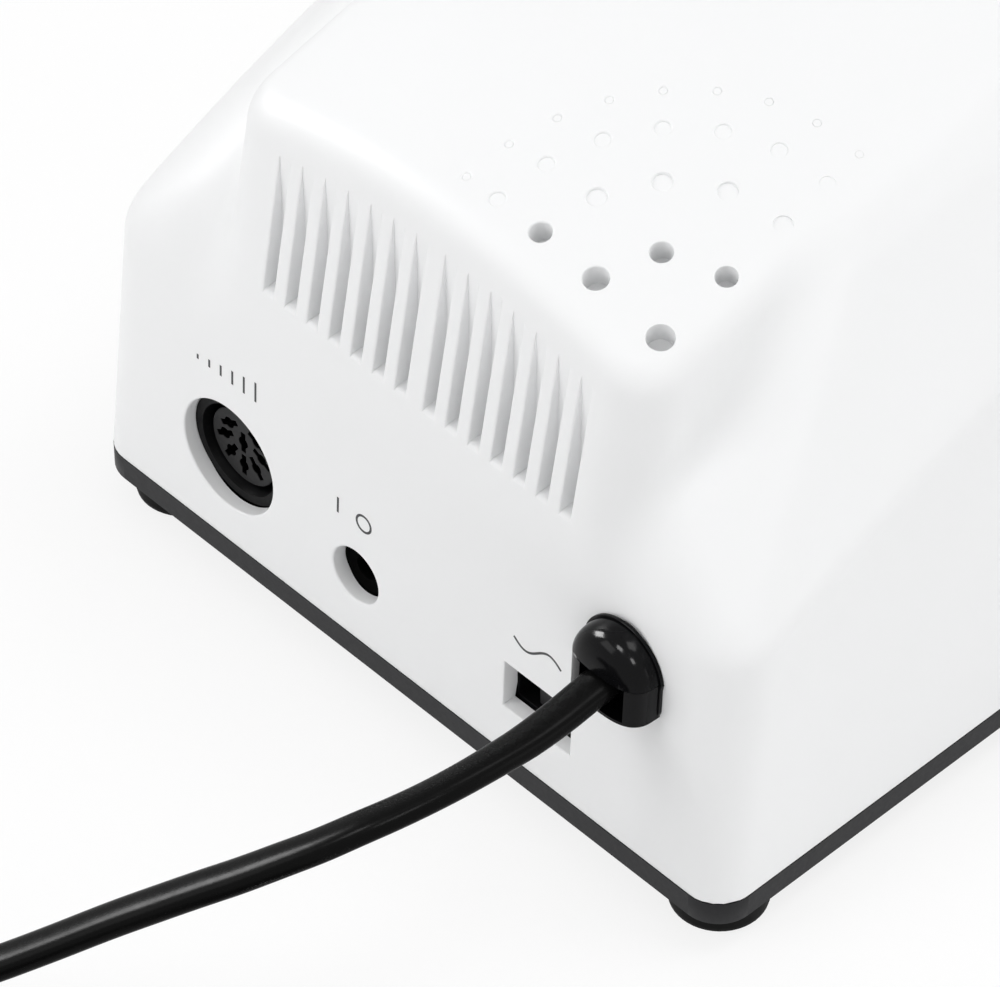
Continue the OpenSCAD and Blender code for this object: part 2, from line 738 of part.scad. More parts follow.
module socket_screws() {
  color([0.6, 0.6, 0.62]) place() for (p = board_post) screw_y(p[0], board_y, p[1], small_r, board_t + 4.9);
}

core_arm = trafo_w / 6;

module transformer_core() {
  color([0.32, 0.33, 0.35]) place() translate([trafo[0], trafo[1], 0]) difference() {
    translate([-trafo_w / 2, -trafo_t / 2, 0]) cube([trafo_w, trafo_t, trafo_h]);
    for (sx = [-1, 1]) translate([sx * 1.5 * core_arm - core_arm / 2, -trafo_t, core_arm])
      cube([core_arm, 2 * trafo_t, trafo_h - 2 * core_arm]);
  }
}

module transformer_winding() {
  color([0.75, 0.6, 0.15]) place() translate([trafo[0], trafo[1], core_arm]) difference() {
    translate([-2 * core_arm, -trafo_t / 2 - winding_t, 0])
      cube([4 * core_arm, trafo_t + 2 * winding_t, trafo_h - 2 * core_arm]);
    translate([-core_arm, -trafo_t / 2, -1]) cube([2 * core_arm, trafo_t, trafo_h]);
  }
}

module transformer_strap() {
  color([0.7, 0.7, 0.72]) place() translate([trafo[0], trafo[1], 0]) difference() {
    union() {
      translate([-trafo_w / 2 - strap_t, -strap_d / 2, trafo_h])
        cube([trafo_w + 2 * strap_t, strap_d, strap_t]);
      for (sx = [-1, 1]) {
        translate([sx * (trafo_w + strap_t) / 2 - strap_t / 2, -strap_d / 2, 0])
          cube([strap_t, strap_d, trafo_h + eps]);
        translate([sx * (trafo_w + strap_d) / 2 - strap_d / 2, -strap_d / 2, 0])
          cube([strap_d, strap_d, strap_t]);
      }
    }
    for (sx = [-1, 1]) translate([sx * strap_x, 0, -1]) cylinder(r = board_r + screw_gap, h = 4);
  }
}

// Upright screw, its head resting on z
module screw_z(x, y, z, r, len) {
  translate([x, y, z - len]) cylinder(r = r, h = len);
  translate([x, y, z]) cylinder(r = r * head_ratio, h = 1.8);
}

module strap_screws() {
  color([0.6, 0.6, 0.62]) place()
    for (sx = [-1, 1]) screw_z(trafo[0] + sx * strap_x, trafo[1], strap_t, board_r, strap_t + 2.4);
}

module main_board() {
  color([0.1, 0.3, 0.16]) place() difference() {
    translate([-main_w / 2, main_y, main_z]) cube([main_w, main_d, board_t]);
    for (p = main_posts) translate([p[0], p[1], main_z - 1])
      cylinder(r = board_r + screw_gap, h = board_t + 2);
  }
}

module board_screws() {
  color([0.6, 0.6, 0.62]) place() for (p = main_posts)
    screw_z(p[0], p[1], main_top, board_r, main_top - 2.6);
}

// Places a piece on the main board, measured from the board's front left corner
module on_main(x, y) {
  translate([x - main_w / 2, main_y + y, main_top]) children();
}

// Rear row of the main board: capacitor, bridge and heat sink share the room between two screws
cap_r = 9;
cap_h = 24;
cap_score = [12, 0.6, 0.4];
bridge = [16, 4.4, 14];
bridge_up = 3;
sink = [28, 14, 24];
row_start = main_inset + head_ratio * board_r;
row_gap = (main_w - 2 * row_start - 2 * cap_r - bridge[0] - sink[0]) / 4;
cap_at = [row_start + row_gap + cap_r, 34];
bridge_at = [cap_at[0] + cap_r + row_gap + bridge[0] / 2, 36];
sink_at = [bridge_at[0] + bridge[0] / 2 + row_gap, 28];

module capacitor() {
  color([0.1, 0.14, 0.3]) place() on_main(cap_at[0], cap_at[1]) difference() {
    cylinder(r = cap_r, h = cap_h);
    for (a = [0, 60, 120]) rotate([0, 0, a])
      translate([-cap_score[0] / 2, -cap_score[1] / 2, cap_h - cap_score[2]])
        cube([cap_score[0], cap_score[1], 1]);
  }
}

module rectifier() {
  color([0.05, 0.05, 0.05]) place() on_main(bridge_at[0], bridge_at[1]) {
    translate([-bridge[0] / 2, -bridge[1] / 2, bridge_up]) cube(bridge);
    for (i = [-1.5:1.5]) translate([i * bridge[0] / 4 - 0.5, -0.4, 0]) cube([1, 0.8, bridge_up + eps]);
  }
}

sink_gaps = 5;
sink_gap = 3;
sink_back = 4;

module heat_sink() {
  fin = (sink[0] - sink_gaps * sink_gap) / (sink_gaps + 1);
  color([0.7, 0.71, 0.73]) place() on_main(sink_at[0], sink_at[1]) difference() {
    cube(sink);
    for (i = [0:sink_gaps - 1]) translate([fin + i * (fin + sink_gap), sink_back, -1])
      cube([sink_gap, sink[1], sink[2] + 2]);
  }
}

module regulator() {
  color([0.06, 0.06, 0.06]) place() on_main(sink_at[0] + sink[0] / 2, sink_at[1]) {
    translate([-5, -4.5, 6]) cube([10, 4.5, 9]);
    translate([-5, -1.3, 14.9]) cube([10, 1.3, 6]);
    for (i = [-1:1]) translate([2.54 * i - 0.4, -2.6, 0]) cube([0.8, 0.6, 6.2]);
  }
}

fuse_at = [40, 12];
fuse_r = 2.6;
fuse_len = 20;
fuse_up = 5;

module fuse_clips() {
  color([0.7, 0.66, 0.5]) place() on_main(fuse_at[0], fuse_at[1]) for (sx = [-1, 1])
  translate([sx * (fuse_len / 2 - 2), 0, 0]) difference() {
    translate([-2.2, -fuse_r - 1, 0]) cube([4.4, 2 * fuse_r + 2, fuse_up + 2]);
    translate([-5, 0, fuse_up]) rotate([0, 90, 0]) cylinder(r = fuse_r, h = 10);
    translate([-5, -1.7, fuse_up]) cube([10, 3.4, 6]);
  }
}

module fuse() {
  color([0.8, 0.85, 0.88]) place() on_main(fuse_at[0], fuse_at[1])
  translate([-fuse_len / 2, 0, fuse_up]) rotate([0, 90, 0]) {
    cylinder(r = fuse_r, h = 5);
    translate([0, 0, 5]) cylinder(r = fuse_r - 0.2, h = fuse_len - 10);
    translate([0, 0, fuse_len - 5]) cylinder(r = fuse_r, h = 5);
  }
}

module terminal_block() {
  color([0.1, 0.3, 0.15]) place() on_main(62, 8) difference() {
    cube([20, 8, 10]);
    for (i = [0:3]) {
      translate([2.5 + 5 * i, 5, 6]) cylinder(r = 1.7, h = 6);
      translate([1 + 5 * i, -1, 2]) cube([3, 3, 3]);
    }
  }
}

module control_board() {
  color([0.1, 0.3, 0.16]) place() difference() {
    on_panel(ctrl_u, ctrl_v[0], ctrl_w - board_t) cube([ctrl_len, ctrl_v[1] - ctrl_v[0], board_t]);
    for (p = ctrl_posts) on_panel(p[0], p[1], ctrl_w - 4) cylinder(r = small_r + screw_gap, h = 8);
  }
}

module control_screws() {
  color([0.6, 0.6, 0.62]) place() for (p = ctrl_posts) on_panel(p[0], p[1], ctrl_w - board_t) {
    cylinder(r = small_r, h = board_t + 7);
    translate([0, 0, -1.6]) cylinder(r = head_ratio * small_r, h = 1.6);
  }
}

pot_r = 4.5;

module pot_body() {
  color([0.35, 0.36, 0.38]) place() on_panel(knob_at[0], knob_at[1], 0) difference() {
    union() {
      translate([0, 0, ctrl_w]) cylinder(r = 8.5, h = 8);
      translate([-8.5, -12, ctrl_w]) cube([17, 12, 4]);
      translate([0, 0, ctrl_w + 7]) cylinder(r = pot_r, h = ctrl_drop - 7 + 2.2);
    }
    translate([0, 0, ctrl_w + 3]) cylinder(r = shaft_r + run_gap, h = 30);
  }
}

module pot_nut() {
  color([0.7, 0.7, 0.72]) place() on_panel(knob_at[0], knob_at[1], 0) difference() {
    cylinder(r = 6.6, h = 1.8, $fn = 6);
    translate([0, 0, -1]) cylinder(r = pot_r, h = 5);
  }
}

knob_lift = 0.8;
knob_cap = 2.4;
shaft_low = ctrl_w + 3.4;
shaft_top = knob_lift + knob_h - knob_cap;

module pot_shaft() {
  color([0.75, 0.75, 0.77]) place() on_panel(knob_at[0], knob_at[1], shaft_low)
    cylinder(r = shaft_r, h = shaft_top - shaft_low);
}

grip_r = knob_r - 3.4;
flutes = 24;
zero_a = 240;

module speed_knob() {
  color([0.1, 0.1, 0.11]) place() on_panel(knob_at[0], knob_at[1], knob_lift) difference() {
    union() {
      cylinder(r = knob_r, h = 3);
      translate([0, 0, 2]) cylinder(r = grip_r, h = knob_h - 2);
    }
    translate([0, 0, -1]) cylinder(r = 8, h = 1 + 3.2);
    translate([0, 0, -1]) cylinder(r = shaft_r, h = knob_h - knob_cap + 1);
    for (i = [0:flutes - 1]) rotate([0, 0, 360 * (i + 0.5) / flutes])
      translate([grip_r + 0.45, 0, 3.4]) cylinder(r = 1, h = knob_h);
    rotate([0, 0, zero_a]) translate([4, -0.6, knob_h - 0.6]) cube([grip_r - 5.2, 1.2, 2]);
  }
}

module panel_marks() {
  color([0.2, 0.2, 0.22]) place() {
    on_panel(knob_at[0], knob_at[1], 0) for (i = [0:10])
      rotate([0, 0, zero_a - 30 * i]) translate([knob_r + 1.2, -0.4, 0])
        cube([i % 5 == 0 ? 3.4 : 2.2, 0.8, 0.2]);
    for (v = [power_v, dir_v]) {
      on_panel(rocker_x - 0.4, v + 12, 0) cube([0.8, 2.6, 0.2]);
      on_panel(rocker_x, v - 13, 0) difference() {
        cylinder(r = 1.5, h = 0.2);
        translate([0, 0, -1]) cylinder(r = 0.9, h = 2);
      }
    }
    on_panel(button_at[0] + 9, button_at[1] - 0.4, 0) cube([4, 0.8, 0.2]);
    on_panel(lamp_at[0] + 6, lamp_at[1] - 0.4, 0) cube([4, 0.8, 0.2]);
  }
}

key_w = 12.6;
key_l = 18.6;
key_rim = 1.2;
rock_w = key_w - 2;
rock_l = key_l - 2;
rock_half = rock_l / 2 - 1;
pivot_w = -1.5;
pivot_r = 1;

// Housing of a rocker switch, clipped into the panel at height v
module rocker_housing(v) {
  place() on_panel(rocker_x, v, 0) difference() {
    union() {
      translate([-key_w / 2, -key_l / 2, ctrl_w]) cube([key_w, key_l, ctrl_drop]);
      translate([-key_w / 2 - key_rim, -key_l / 2 - key_rim, 0])
        cube([key_w + 2 * key_rim, key_l + 2 * key_rim, 1.5]);
      for (k = [-6, 0, 6]) translate([-2.4, k - 0.4, ctrl_w - 6]) cube([4.8, 0.8, 6.2]);
    }
    translate([-rock_w / 2, -rock_l / 2, -9]) cube([rock_w, rock_l, 20]);
    translate([-rock_w / 2 - 0.7, 0, pivot_w]) rotate([0, 90, 0])
      cylinder(r = pivot_r + run_gap, h = rock_w + 1.4);
  }
}

// Rocker key on its pin, drawn at one end of its swing
module rocker(v) {
  place() on_panel(rocker_x, v, pivot_w) rotate([-rocker_swing / 2, 0, 0]) {
    translate([-rock_w / 2 + move_gap, 0, 0]) rotate([90, 0, 90]) linear_extrude(rock_w - 2 * move_gap)
      polygon([[-rock_half, 0.4], [-rock_half, 4.6], [-3.5, 3.7], [0, 3.4], [3.5, 3.7], [rock_half, 4.6],
        [rock_half, 0.4], [2, -3.4], [-2, -3.4]]);
    translate([-rock_w / 2 - 0.6, 0, 0]) rotate([0, 90, 0]) cylinder(r = pivot_r, h = rock_w + 1.2);
  }
}

module power_housing() {
  color([0.07, 0.07, 0.07]) rocker_housing(power_v);
}

module power_rocker() {
  color([0.6, 0.05, 0.05]) rocker(power_v);
}

module direction_housing() {
  color([0.07, 0.07, 0.07]) rocker_housing(dir_v);
}

module direction_rocker() {
  color([0.1, 0.1, 0.1]) rocker(dir_v);
}

stem_r = 2;
button_low = 4.8;

module button_switch() {
  color([0.1, 0.1, 0.1]) place() on_panel(button_at[0], button_at[1], ctrl_w) difference() {
    translate([-6, -6, 0]) cube([12, 12, ctrl_drop - button_low - button_travel - 0.8]);
    translate([0, 0, 1]) cylinder(r = stem_r + run_gap, h = ctrl_drop);
  }
}

module mode_button() {
  color([0.75, 0.76, 0.78]) place() on_panel(button_at[0], button_at[1], 0) {
    translate([0, 0, -button_low]) cylinder(r = button_r, h = button_low + 2.2);
    translate([0, 0, 2.2]) cylinder(r1 = button_r, r2 = button_r - 0.8, h = 0.8);
    translate([0, 0, ctrl_w + 1.4 + button_travel])
      cylinder(r = stem_r, h = ctrl_drop - 1.4 - button_travel - button_low + eps);
  }
}

module lamp() {
  color([0.8, 0.1, 0.1]) place() on_panel(lamp_at[0], lamp_at[1], 0) {
    translate([0, 0, ctrl_w]) cylinder(r = lamp_r, h = ctrl_drop);
    translate([0, 0, ctrl_w]) cylinder(r = lamp_r + 0.4, h = 1);
    intersection() {
      sphere(r = lamp_r);
      translate([0, 0, 1.24]) cube([6, 6, 2.5], center = true);
    }
  }
}

sock_back = 13;

module handpiece_socket() {
  color([0.12, 0.12, 0.13]) place() translate([0, -case_d, 0]) difference() {
    union() {
      rod_y(sock_r, -sock_nose, sock_back, sock[0], sock[1]);
      rod_y(sock_r + 1.6, wall + 1.2, sock_back, sock[0], sock[1]);
    }
    rod_y(sock_bore, -sock_nose - 1, sock_back - 2, sock[0], sock[1]);
    translate([sock[0] - 1, 4, sock[1] - 4.6]) cube([2, sock_back, 9.2]);
  }
}

module handpiece_contacts() {
  color([0.75, 0.7, 0.5]) place() translate([sock[0] - 1, -case_d + 4, sock[1]])
    for (z = [-4.6, 4]) translate([0, 0, z]) cube([2, sock_back, 0.6]);
}

module handpiece_nut() {
  color([0.7, 0.7, 0.72]) place() translate([0, -case_d, 0]) difference() {
    translate([sock[0], 0.2, sock[1]]) rotate([90, 0, 0]) cylinder(r = sock_r + 2.4, h = 2.5, $fn = 6);
    rod_y(sock_r, -sock_nose - 2, 4, sock[0], sock[1]);
  }
}

upper_shell();
base_plate();
feet();
case_screws();
bushing_upper();
bushing_lower();
cord();
cord_coil();
cord_tail();
cord_tie();
plug_body();
plug_pins();
din_housing();
din_insert();
din_contacts();
jack_body();
jack_contact();
selector_body();
selector_slider();
socket_board();
socket_screws();
transformer_core();
transformer_winding();
transformer_strap();
strap_screws();
main_board();
board_screws();
capacitor();
rectifier();
heat_sink();
regulator();
fuse_clips();
fuse();
terminal_block();
control_board();
control_screws();
pot_body();
pot_nut();
pot_shaft();
speed_knob();
panel_marks();
power_housing();
power_rocker();
direction_housing();
direction_rocker();
button_switch();
mode_button();
lamp();
handpiece_socket();
handpiece_nut();
handpiece_contacts();
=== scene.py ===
"""Looks of a nail drill's control box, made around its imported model.

Sizes are in millimetres, measured as on the bench: x to the user's right, y outward from the foot
of the rear wall, z up from the shell's lower edge. in_frame() carries them into the model's metres.
"""
import json
import math

import bpy
import numpy as np
from mathutils import Matrix, Vector


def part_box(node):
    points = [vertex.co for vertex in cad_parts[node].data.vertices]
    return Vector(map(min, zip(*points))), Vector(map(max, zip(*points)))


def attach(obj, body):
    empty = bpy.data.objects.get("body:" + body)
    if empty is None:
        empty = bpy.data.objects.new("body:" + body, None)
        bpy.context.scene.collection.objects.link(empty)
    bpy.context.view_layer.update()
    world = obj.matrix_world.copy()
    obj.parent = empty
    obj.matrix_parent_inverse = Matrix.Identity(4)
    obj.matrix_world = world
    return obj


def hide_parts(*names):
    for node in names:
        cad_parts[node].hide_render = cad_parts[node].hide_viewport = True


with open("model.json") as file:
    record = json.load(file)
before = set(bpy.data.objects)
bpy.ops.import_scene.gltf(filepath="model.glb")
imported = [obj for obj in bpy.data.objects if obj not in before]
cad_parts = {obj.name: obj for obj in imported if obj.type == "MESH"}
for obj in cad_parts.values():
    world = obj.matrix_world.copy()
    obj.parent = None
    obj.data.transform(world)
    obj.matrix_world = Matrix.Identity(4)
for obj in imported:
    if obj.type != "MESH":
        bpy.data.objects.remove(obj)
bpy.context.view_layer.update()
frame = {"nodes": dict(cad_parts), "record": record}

# The case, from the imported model
MM = 0.001
shell_low, shell_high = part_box("upper_shell")
HALF_W = shell_high.x / MM
CASE_D = (shell_high.y - shell_low.y) / MM
REAR_FOOT = np.array([0.0, shell_high.y, shell_low.z])
FLOOR_Z = -shell_low.z / MM

# Shell: walls, bonnet, vent face and scoops
DRAFT = 0.04
SIDE_DRAFT = 0.03
CORNER_R = 5.3
CORNER_GROWTH = 0.075
BONNET_Z = 75.2
BONNET_Y = -9.0
BONNET_HALF = 37.0
TOP_RISE = 0.25
CROWN_R = 140.0
RIDGE_Y = -72.0
RIDGE_Z = BONNET_Z + TOP_RISE * (BONNET_Y - RIDGE_Y)
LIP_Z = 28.0
VENT_LEAN = 0.176
VENT_FOOT_Y = 5.51
RAMP_RISE = 0.985
RAMP_Z = 42.0
WALL = 2.0
ROOF = 6.5

# Shoulders, rear to front: fall to the rear, and y and z of a point on the side wall
SHOULDER_A = math.radians(51.4)
SHOULDERS = ((0.519, -7.2, 39.9), (0.3, -40.0, 55.0), (-0.56, RIDGE_Y, 64.0))

# Panel: its slope and its own directions, right, up the slope and out
PANEL_FOOT_Y = -CASE_D + DRAFT * LIP_Z
PANEL_A = math.atan2(RIDGE_Z - LIP_Z, RIDGE_Y - PANEL_FOOT_Y)
PANEL_MID = np.array([0.0, (RIDGE_Y + PANEL_FOOT_Y) / 2, (RIDGE_Z + LIP_Z) / 2])
PANEL_U = np.array([1.0, 0.0, 0.0])
PANEL_V = np.array([0.0, math.cos(PANEL_A), math.sin(PANEL_A)])
PANEL_N = np.array([0.0, -math.sin(PANEL_A), math.cos(PANEL_A)])

# Box and middle for the rays that find the shell's skin, with closer lines along the shoulder's crease
SHELL_MIDDLE = np.array([0.0, -70.0, 35.0])
BOX_LOW_Z = -1.0
BOX_HIGH_Z = 96.0
BOX_HALF_X = 60.0
BOX_FRONT_Y = -152.0
BOX_FINE_Y = -80.0
BOX_REAR_Y = 2.5
CREASE_LINE = 50.0
CREASE_BAND = 3.5

# Rounds and blends where the shell's faces meet
SHOULDER_BLENDS = (3.0, 5.0)
RAMP_ROUND = 5.0
BONNET_ROUND = 2.0
BONNET_FILL = 3.5
REAR_BLEND = 1.0
CROWN_ROUND = 3.0
PANEL_ROUND = 2.5
FOOT_ROUND = 0.3
EDGE_ROUND = 0.9
EDGE_GROWTH = 4.1
EDGE_MARGIN = 2.0
EDGE_RUN = 8.0
BONNET_EDGE = 2.0
BONNET_EDGE_X = 46.0
BONNET_EDGE_RUN = 6.0

# Openings in the rear wall: across, up
REAR_N = np.array([0.0, 1.0, DRAFT]) / math.hypot(1.0, DRAFT)
SOCKET = (32.25, 14.85)
SOCKET_R = 8.5
JACK = (8.0, 11.1)
JACK_R = 4.2
WINDOW = (-25.3, 12.05)
WINDOW_SIZE = (12.0, 7.7)
WINDOW_ROUND = 0.25
MOUTH_ROUND = 0.3
CUT_IN = 6.0
CUT_OUT = 2.0

# Insert of the round socket: depths from the foot of the rear wall, leans from the lowest contact on
INSERT_R = 5.95
INSERT_FACE = -3.3
INSERT_FLOOR = -12.5
INSERT_EASE = 0.15
CONTACT_R = 0.88
CONTACT_CIRCLE = 3.5
CONTACT_RISE = 0.3
CONTACT_STEP = math.radians(262 / 6)
CONTACT_MID = 0.5
CONTACT_FLOOR = INSERT_FLOOR + 1.5
SLIT_W = 0.9
SLIT_H = 3.5
SLIT_IN = -7.0
SLIT_OUT = -1.0
SLIT_LEAN = (0, 36, 59, 61)

# Bushing: its place, across and up, then its halves
BUSHING_INSET = 18.35
BUSHING = (BUSHING_INSET - HALF_W, 31.2)
BUSHING_HOLE_R = 6.2
BUSHING_MOUTH = 0.2
BUSHING_R = 6.45
BUSHING_LOW = 5.0
LEG_GAP = (-4.25, 3.05)
LEG_BACK = 1.2
LEG_FLOOR = 0.7
LEG_NARROW = 0.977
NOSE = 5.0
NOSE_FOOT = 0.8
NOSE_POWER = 2.9
NOSE_STOP = 1.56
FLANGE_R = 6.8
FLANGE_T = 0.5
FLANGE_EASE = 0.1
NECK_R = 5.95
NECK_LEN = 3.4
NECK_EASE = 0.3
PARTING = 1.1
PARTING_GAP = 0.06

# Vent slots: a row in two groups, their backs on a bow
SLOT_COUNT = 14
SLOT_PITCH = 4.02
SLOT_SHIFT = -0.97
SLOT_MID = 1.07
SLOT_W = 1.9
SLOT_ROUND = 0.25
SLOT_FOOT_Z = 46.8
SLOT_TOP_Z = 74.0
SLOT_TILT = 0.011
SLOT_LIP = 0.8
SLOT_BACK = 6.8
SLOT_BOW = 0.59
SLOT_HALF_ROW = 28.3
SLOT_BACK_DRAFT = 0.01

# Fan of holes on the bonnet; each ring: reach, holes, radius, depth
FAN_CORNER = (-32.5, -13.6)
FAN_RINGS = (
    (0.0, 1, 1.8, 4.0),
    (11.0, 3, 1.45, 4.0),
    (20.5, 5, 1.25, 0.45),
    (28.0, 7, 1.0, 0.28),
    (33.4, 9, 0.5, 0.15),
)
FAN_DEEP = 4.0
FAN_WIDER = 0.2
FAN_ROUND = 0.3

# Flat mains cord
CORD_W = 5.2
CORD_T = 3.4
CORD_POWER = 2.5
CORD_STEP = 1.2
CORD_SPAN_STEPS = 12
CORD_DROP = 0.6
CORD_Z = BUSHING[1] - CORD_DROP
COIL_MID = (-11.4, 124.0)
COIL_R = 38.8
COIL_PITCH = 5.9
COIL_TURNS = 5.5
COIL_LAYER = 4.0
COIL_CLIMB = 0.5
COIL_BEND = 0.02
COIL_START = math.radians(-30)
COIL_STEPS = 24
COIL_LIFT = 0.9
COIL_Z = FLOOR_Z + CORD_T / 2 + COIL_LIFT

# Roll of the cord, in degrees and millimetres of its run
ROLL_HUMP = 21
ROLL_AT = 36
ROLL_SPAN = 18
ROLL_REST = 5
ROLL_END = 400
ROLL_FADE = 200

# Controls on the panel: right, up the slope
KNOB = (14.0, 6.0)
KNOB_LIFT = 0.8
KNOB_HOLE_R = 4.7
GRIP_R = 14.6
FLUTES = 24
FLUTE_R = 1.0
FLUTE_OUT = 0.45
FLUTE_STEPS = 12
KNOB_ZERO = math.radians(240)
BUTTON = (14.0, -26.0)
BUTTON_HOLE_R = 5.35
LAMP = (14.0, 34.0)
LAMP_HOLE_R = 2.6
PANEL_CUT = 5.0
ROCKER_U = -20.0
ROCKER_V = {"power": -22.0, "direction": 14.0}
ROCKER_WINDOW = (13.0, 19.0)
ROCKER_PIVOT = -1.5
ROCKER_TILT = math.radians(8)
KEY_REACH = 7.3
KEY_TOP = 3.4
KEY_DISH = 1.15
HANDPIECE = (26.0, 16.0)
HANDPIECE_HOLE_R = 6.2

# Feet and plug
FOOT = (50.4, 8.2)
PLUG = np.array([-53.0, 100.0, FLOOR_Z + 6.7])
PLUG_POWER = 3.4
PLUG_PIN_X = 9.3
PLUG_PIN_ROOT = 28.0

# Camera at the photograph's place, in bench millimetres
CAMERA_PLACE = (-408.71, 372.61, 588.88)
CAMERA_TURN = math.radians(46.27)
CAMERA_DOWN = math.radians(45.20)
CAMERA_LENS = 226.8
SENSOR_W = 36


def in_frame(points):
    """Bench millimetres to the model's metres: scaled, then moved to the foot of the rear wall."""
    return np.asarray(points, float) * MM + REAR_FOOT


def unit(v):
    """Vectors scaled to length one along the last axis."""
    return v / np.linalg.norm(v, axis=-1, keepdims=True)


def camera():
    """Camera with a long lens, turned about the vertical and looking down."""
    level = math.cos(CAMERA_DOWN)
    back = Vector((-math.sin(CAMERA_TURN) * level, math.cos(CAMERA_TURN) * level, math.sin(CAMERA_DOWN)))
    right = Vector((0, 0, 1)).cross(back).normalized()
    data = bpy.data.cameras.new("camera")
    data.lens = CAMERA_LENS
    data.sensor_width = SENSOR_W
    data.clip_end = 10
    obj = bpy.data.objects.new("camera", data)
    bpy.context.scene.collection.objects.link(obj)
    facing = Matrix((right, back.cross(right), back)).transposed().to_4x4()
    obj.matrix_world = Matrix.Translation(Vector(in_frame(CAMERA_PLACE))) @ facing
    bpy.context.scene.camera = obj


camera()


# Materials


def new_material(name):
    """New material, with its node tree and its Principled shader."""
    made = bpy.data.materials.new(name)
    made.use_nodes = True
    tree = made.node_tree
    return made, tree, tree.nodes["Principled BSDF"]


def noise(tree, scale, detail):
    """Noise texture read in the piece's own coordinates, in features per metre."""
    place = tree.nodes.new("ShaderNodeTexCoord")
    made = tree.nodes.new("ShaderNodeTexNoise")
    made.inputs["Scale"].default_value = scale
    made.inputs["Detail"].default_value = detail
    tree.links.new(place.outputs["Object"], made.inputs["Vector"])
    return made.outputs["Fac"]


def spread(tree, fac, low, high):
    """Noise stretched from its usual middle band to the range low to high."""
    made = tree.nodes.new("ShaderNodeMapRange")
    made.inputs["From Min"].default_value = 0.3
    made.inputs["From Max"].default_value = 0.7
    made.inputs["To Min"].default_value = low
    made.inputs["To Max"].default_value = high
    tree.links.new(fac, made.inputs["Value"])
    return made.outputs["Result"]


def tinted(tree, fac, dark, light):
    """Colour that wanders between two close tones."""
    made = tree.nodes.new("ShaderNodeMix")
    made.data_type = "RGBA"
    made.inputs["A"].default_value = (*dark, 1)
    made.inputs["B"].default_value = (*light, 1)
    tree.links.new(fac, made.inputs["Factor"])
    return made.outputs["Result"]


def bumped(tree, shader, fac, depth):
    """Fine relief of a given depth in metres on the shader's normal."""
    made = tree.nodes.new("ShaderNodeBump")
    made.inputs["Distance"].default_value = depth
    made.inputs["Strength"].default_value = 1.0
    tree.links.new(fac, made.inputs["Height"])
    tree.links.new(made.outputs["Normal"], shader.inputs["Normal"])


def moulded(name, colour, rough, grain, depth, vary=0.05, level=0.5):
    """Moulded plastic or rubber: a colour with slow drift, grain in the relief, uneven gloss."""
    made, tree, shader = new_material(name)
    drift = noise(tree, scale=60.0, detail=3.0)
    dark = [c * (1 - vary) for c in colour]
    light = [min(1.0, c * (1 + vary)) for c in colour]
    tree.links.new(tinted(tree, drift, dark, light), shader.inputs["Base Color"])
    fine = noise(tree, grain, detail=2.0)
    tree.links.new(spread(tree, fine, rough - 0.03, rough + 0.03), shader.inputs["Roughness"])
    bumped(tree, shader, fine, depth)
    shader.inputs["Specular IOR Level"].default_value = level
    return made


def metal(name, colour, rough):
    """Plated or rolled metal: faint blotches in colour and gloss over a fine relief."""
    made, tree, shader = new_material(name)
    drift = noise(tree, scale=120.0, detail=4.0)
    dark = [c * 0.9 for c in colour]
    tree.links.new(tinted(tree, drift, dark, colour), shader.inputs["Base Color"])
    fine = noise(tree, scale=900.0, detail=3.0)
    tree.links.new(spread(tree, fine, rough - 0.06, rough + 0.06), shader.inputs["Roughness"])
    bumped(tree, shader, fine, depth=2e-6)
    shader.inputs["Metallic"].default_value = 1.0
    return made


def see_through(name, colour, rough, weight):
    """Clear tube or lens: part of the light passes, with a tint that drifts a little."""
    made, tree, shader = new_material(name)
    drift = noise(tree, scale=200.0, detail=2.0)
    dark = [c * 0.85 for c in colour]
    tree.links.new(tinted(tree, drift, dark, colour), shader.inputs["Base Color"])
    tree.links.new(spread(tree, drift, rough, rough + 0.06), shader.inputs["Roughness"])
    shader.inputs["Transmission Weight"].default_value = weight
    return made


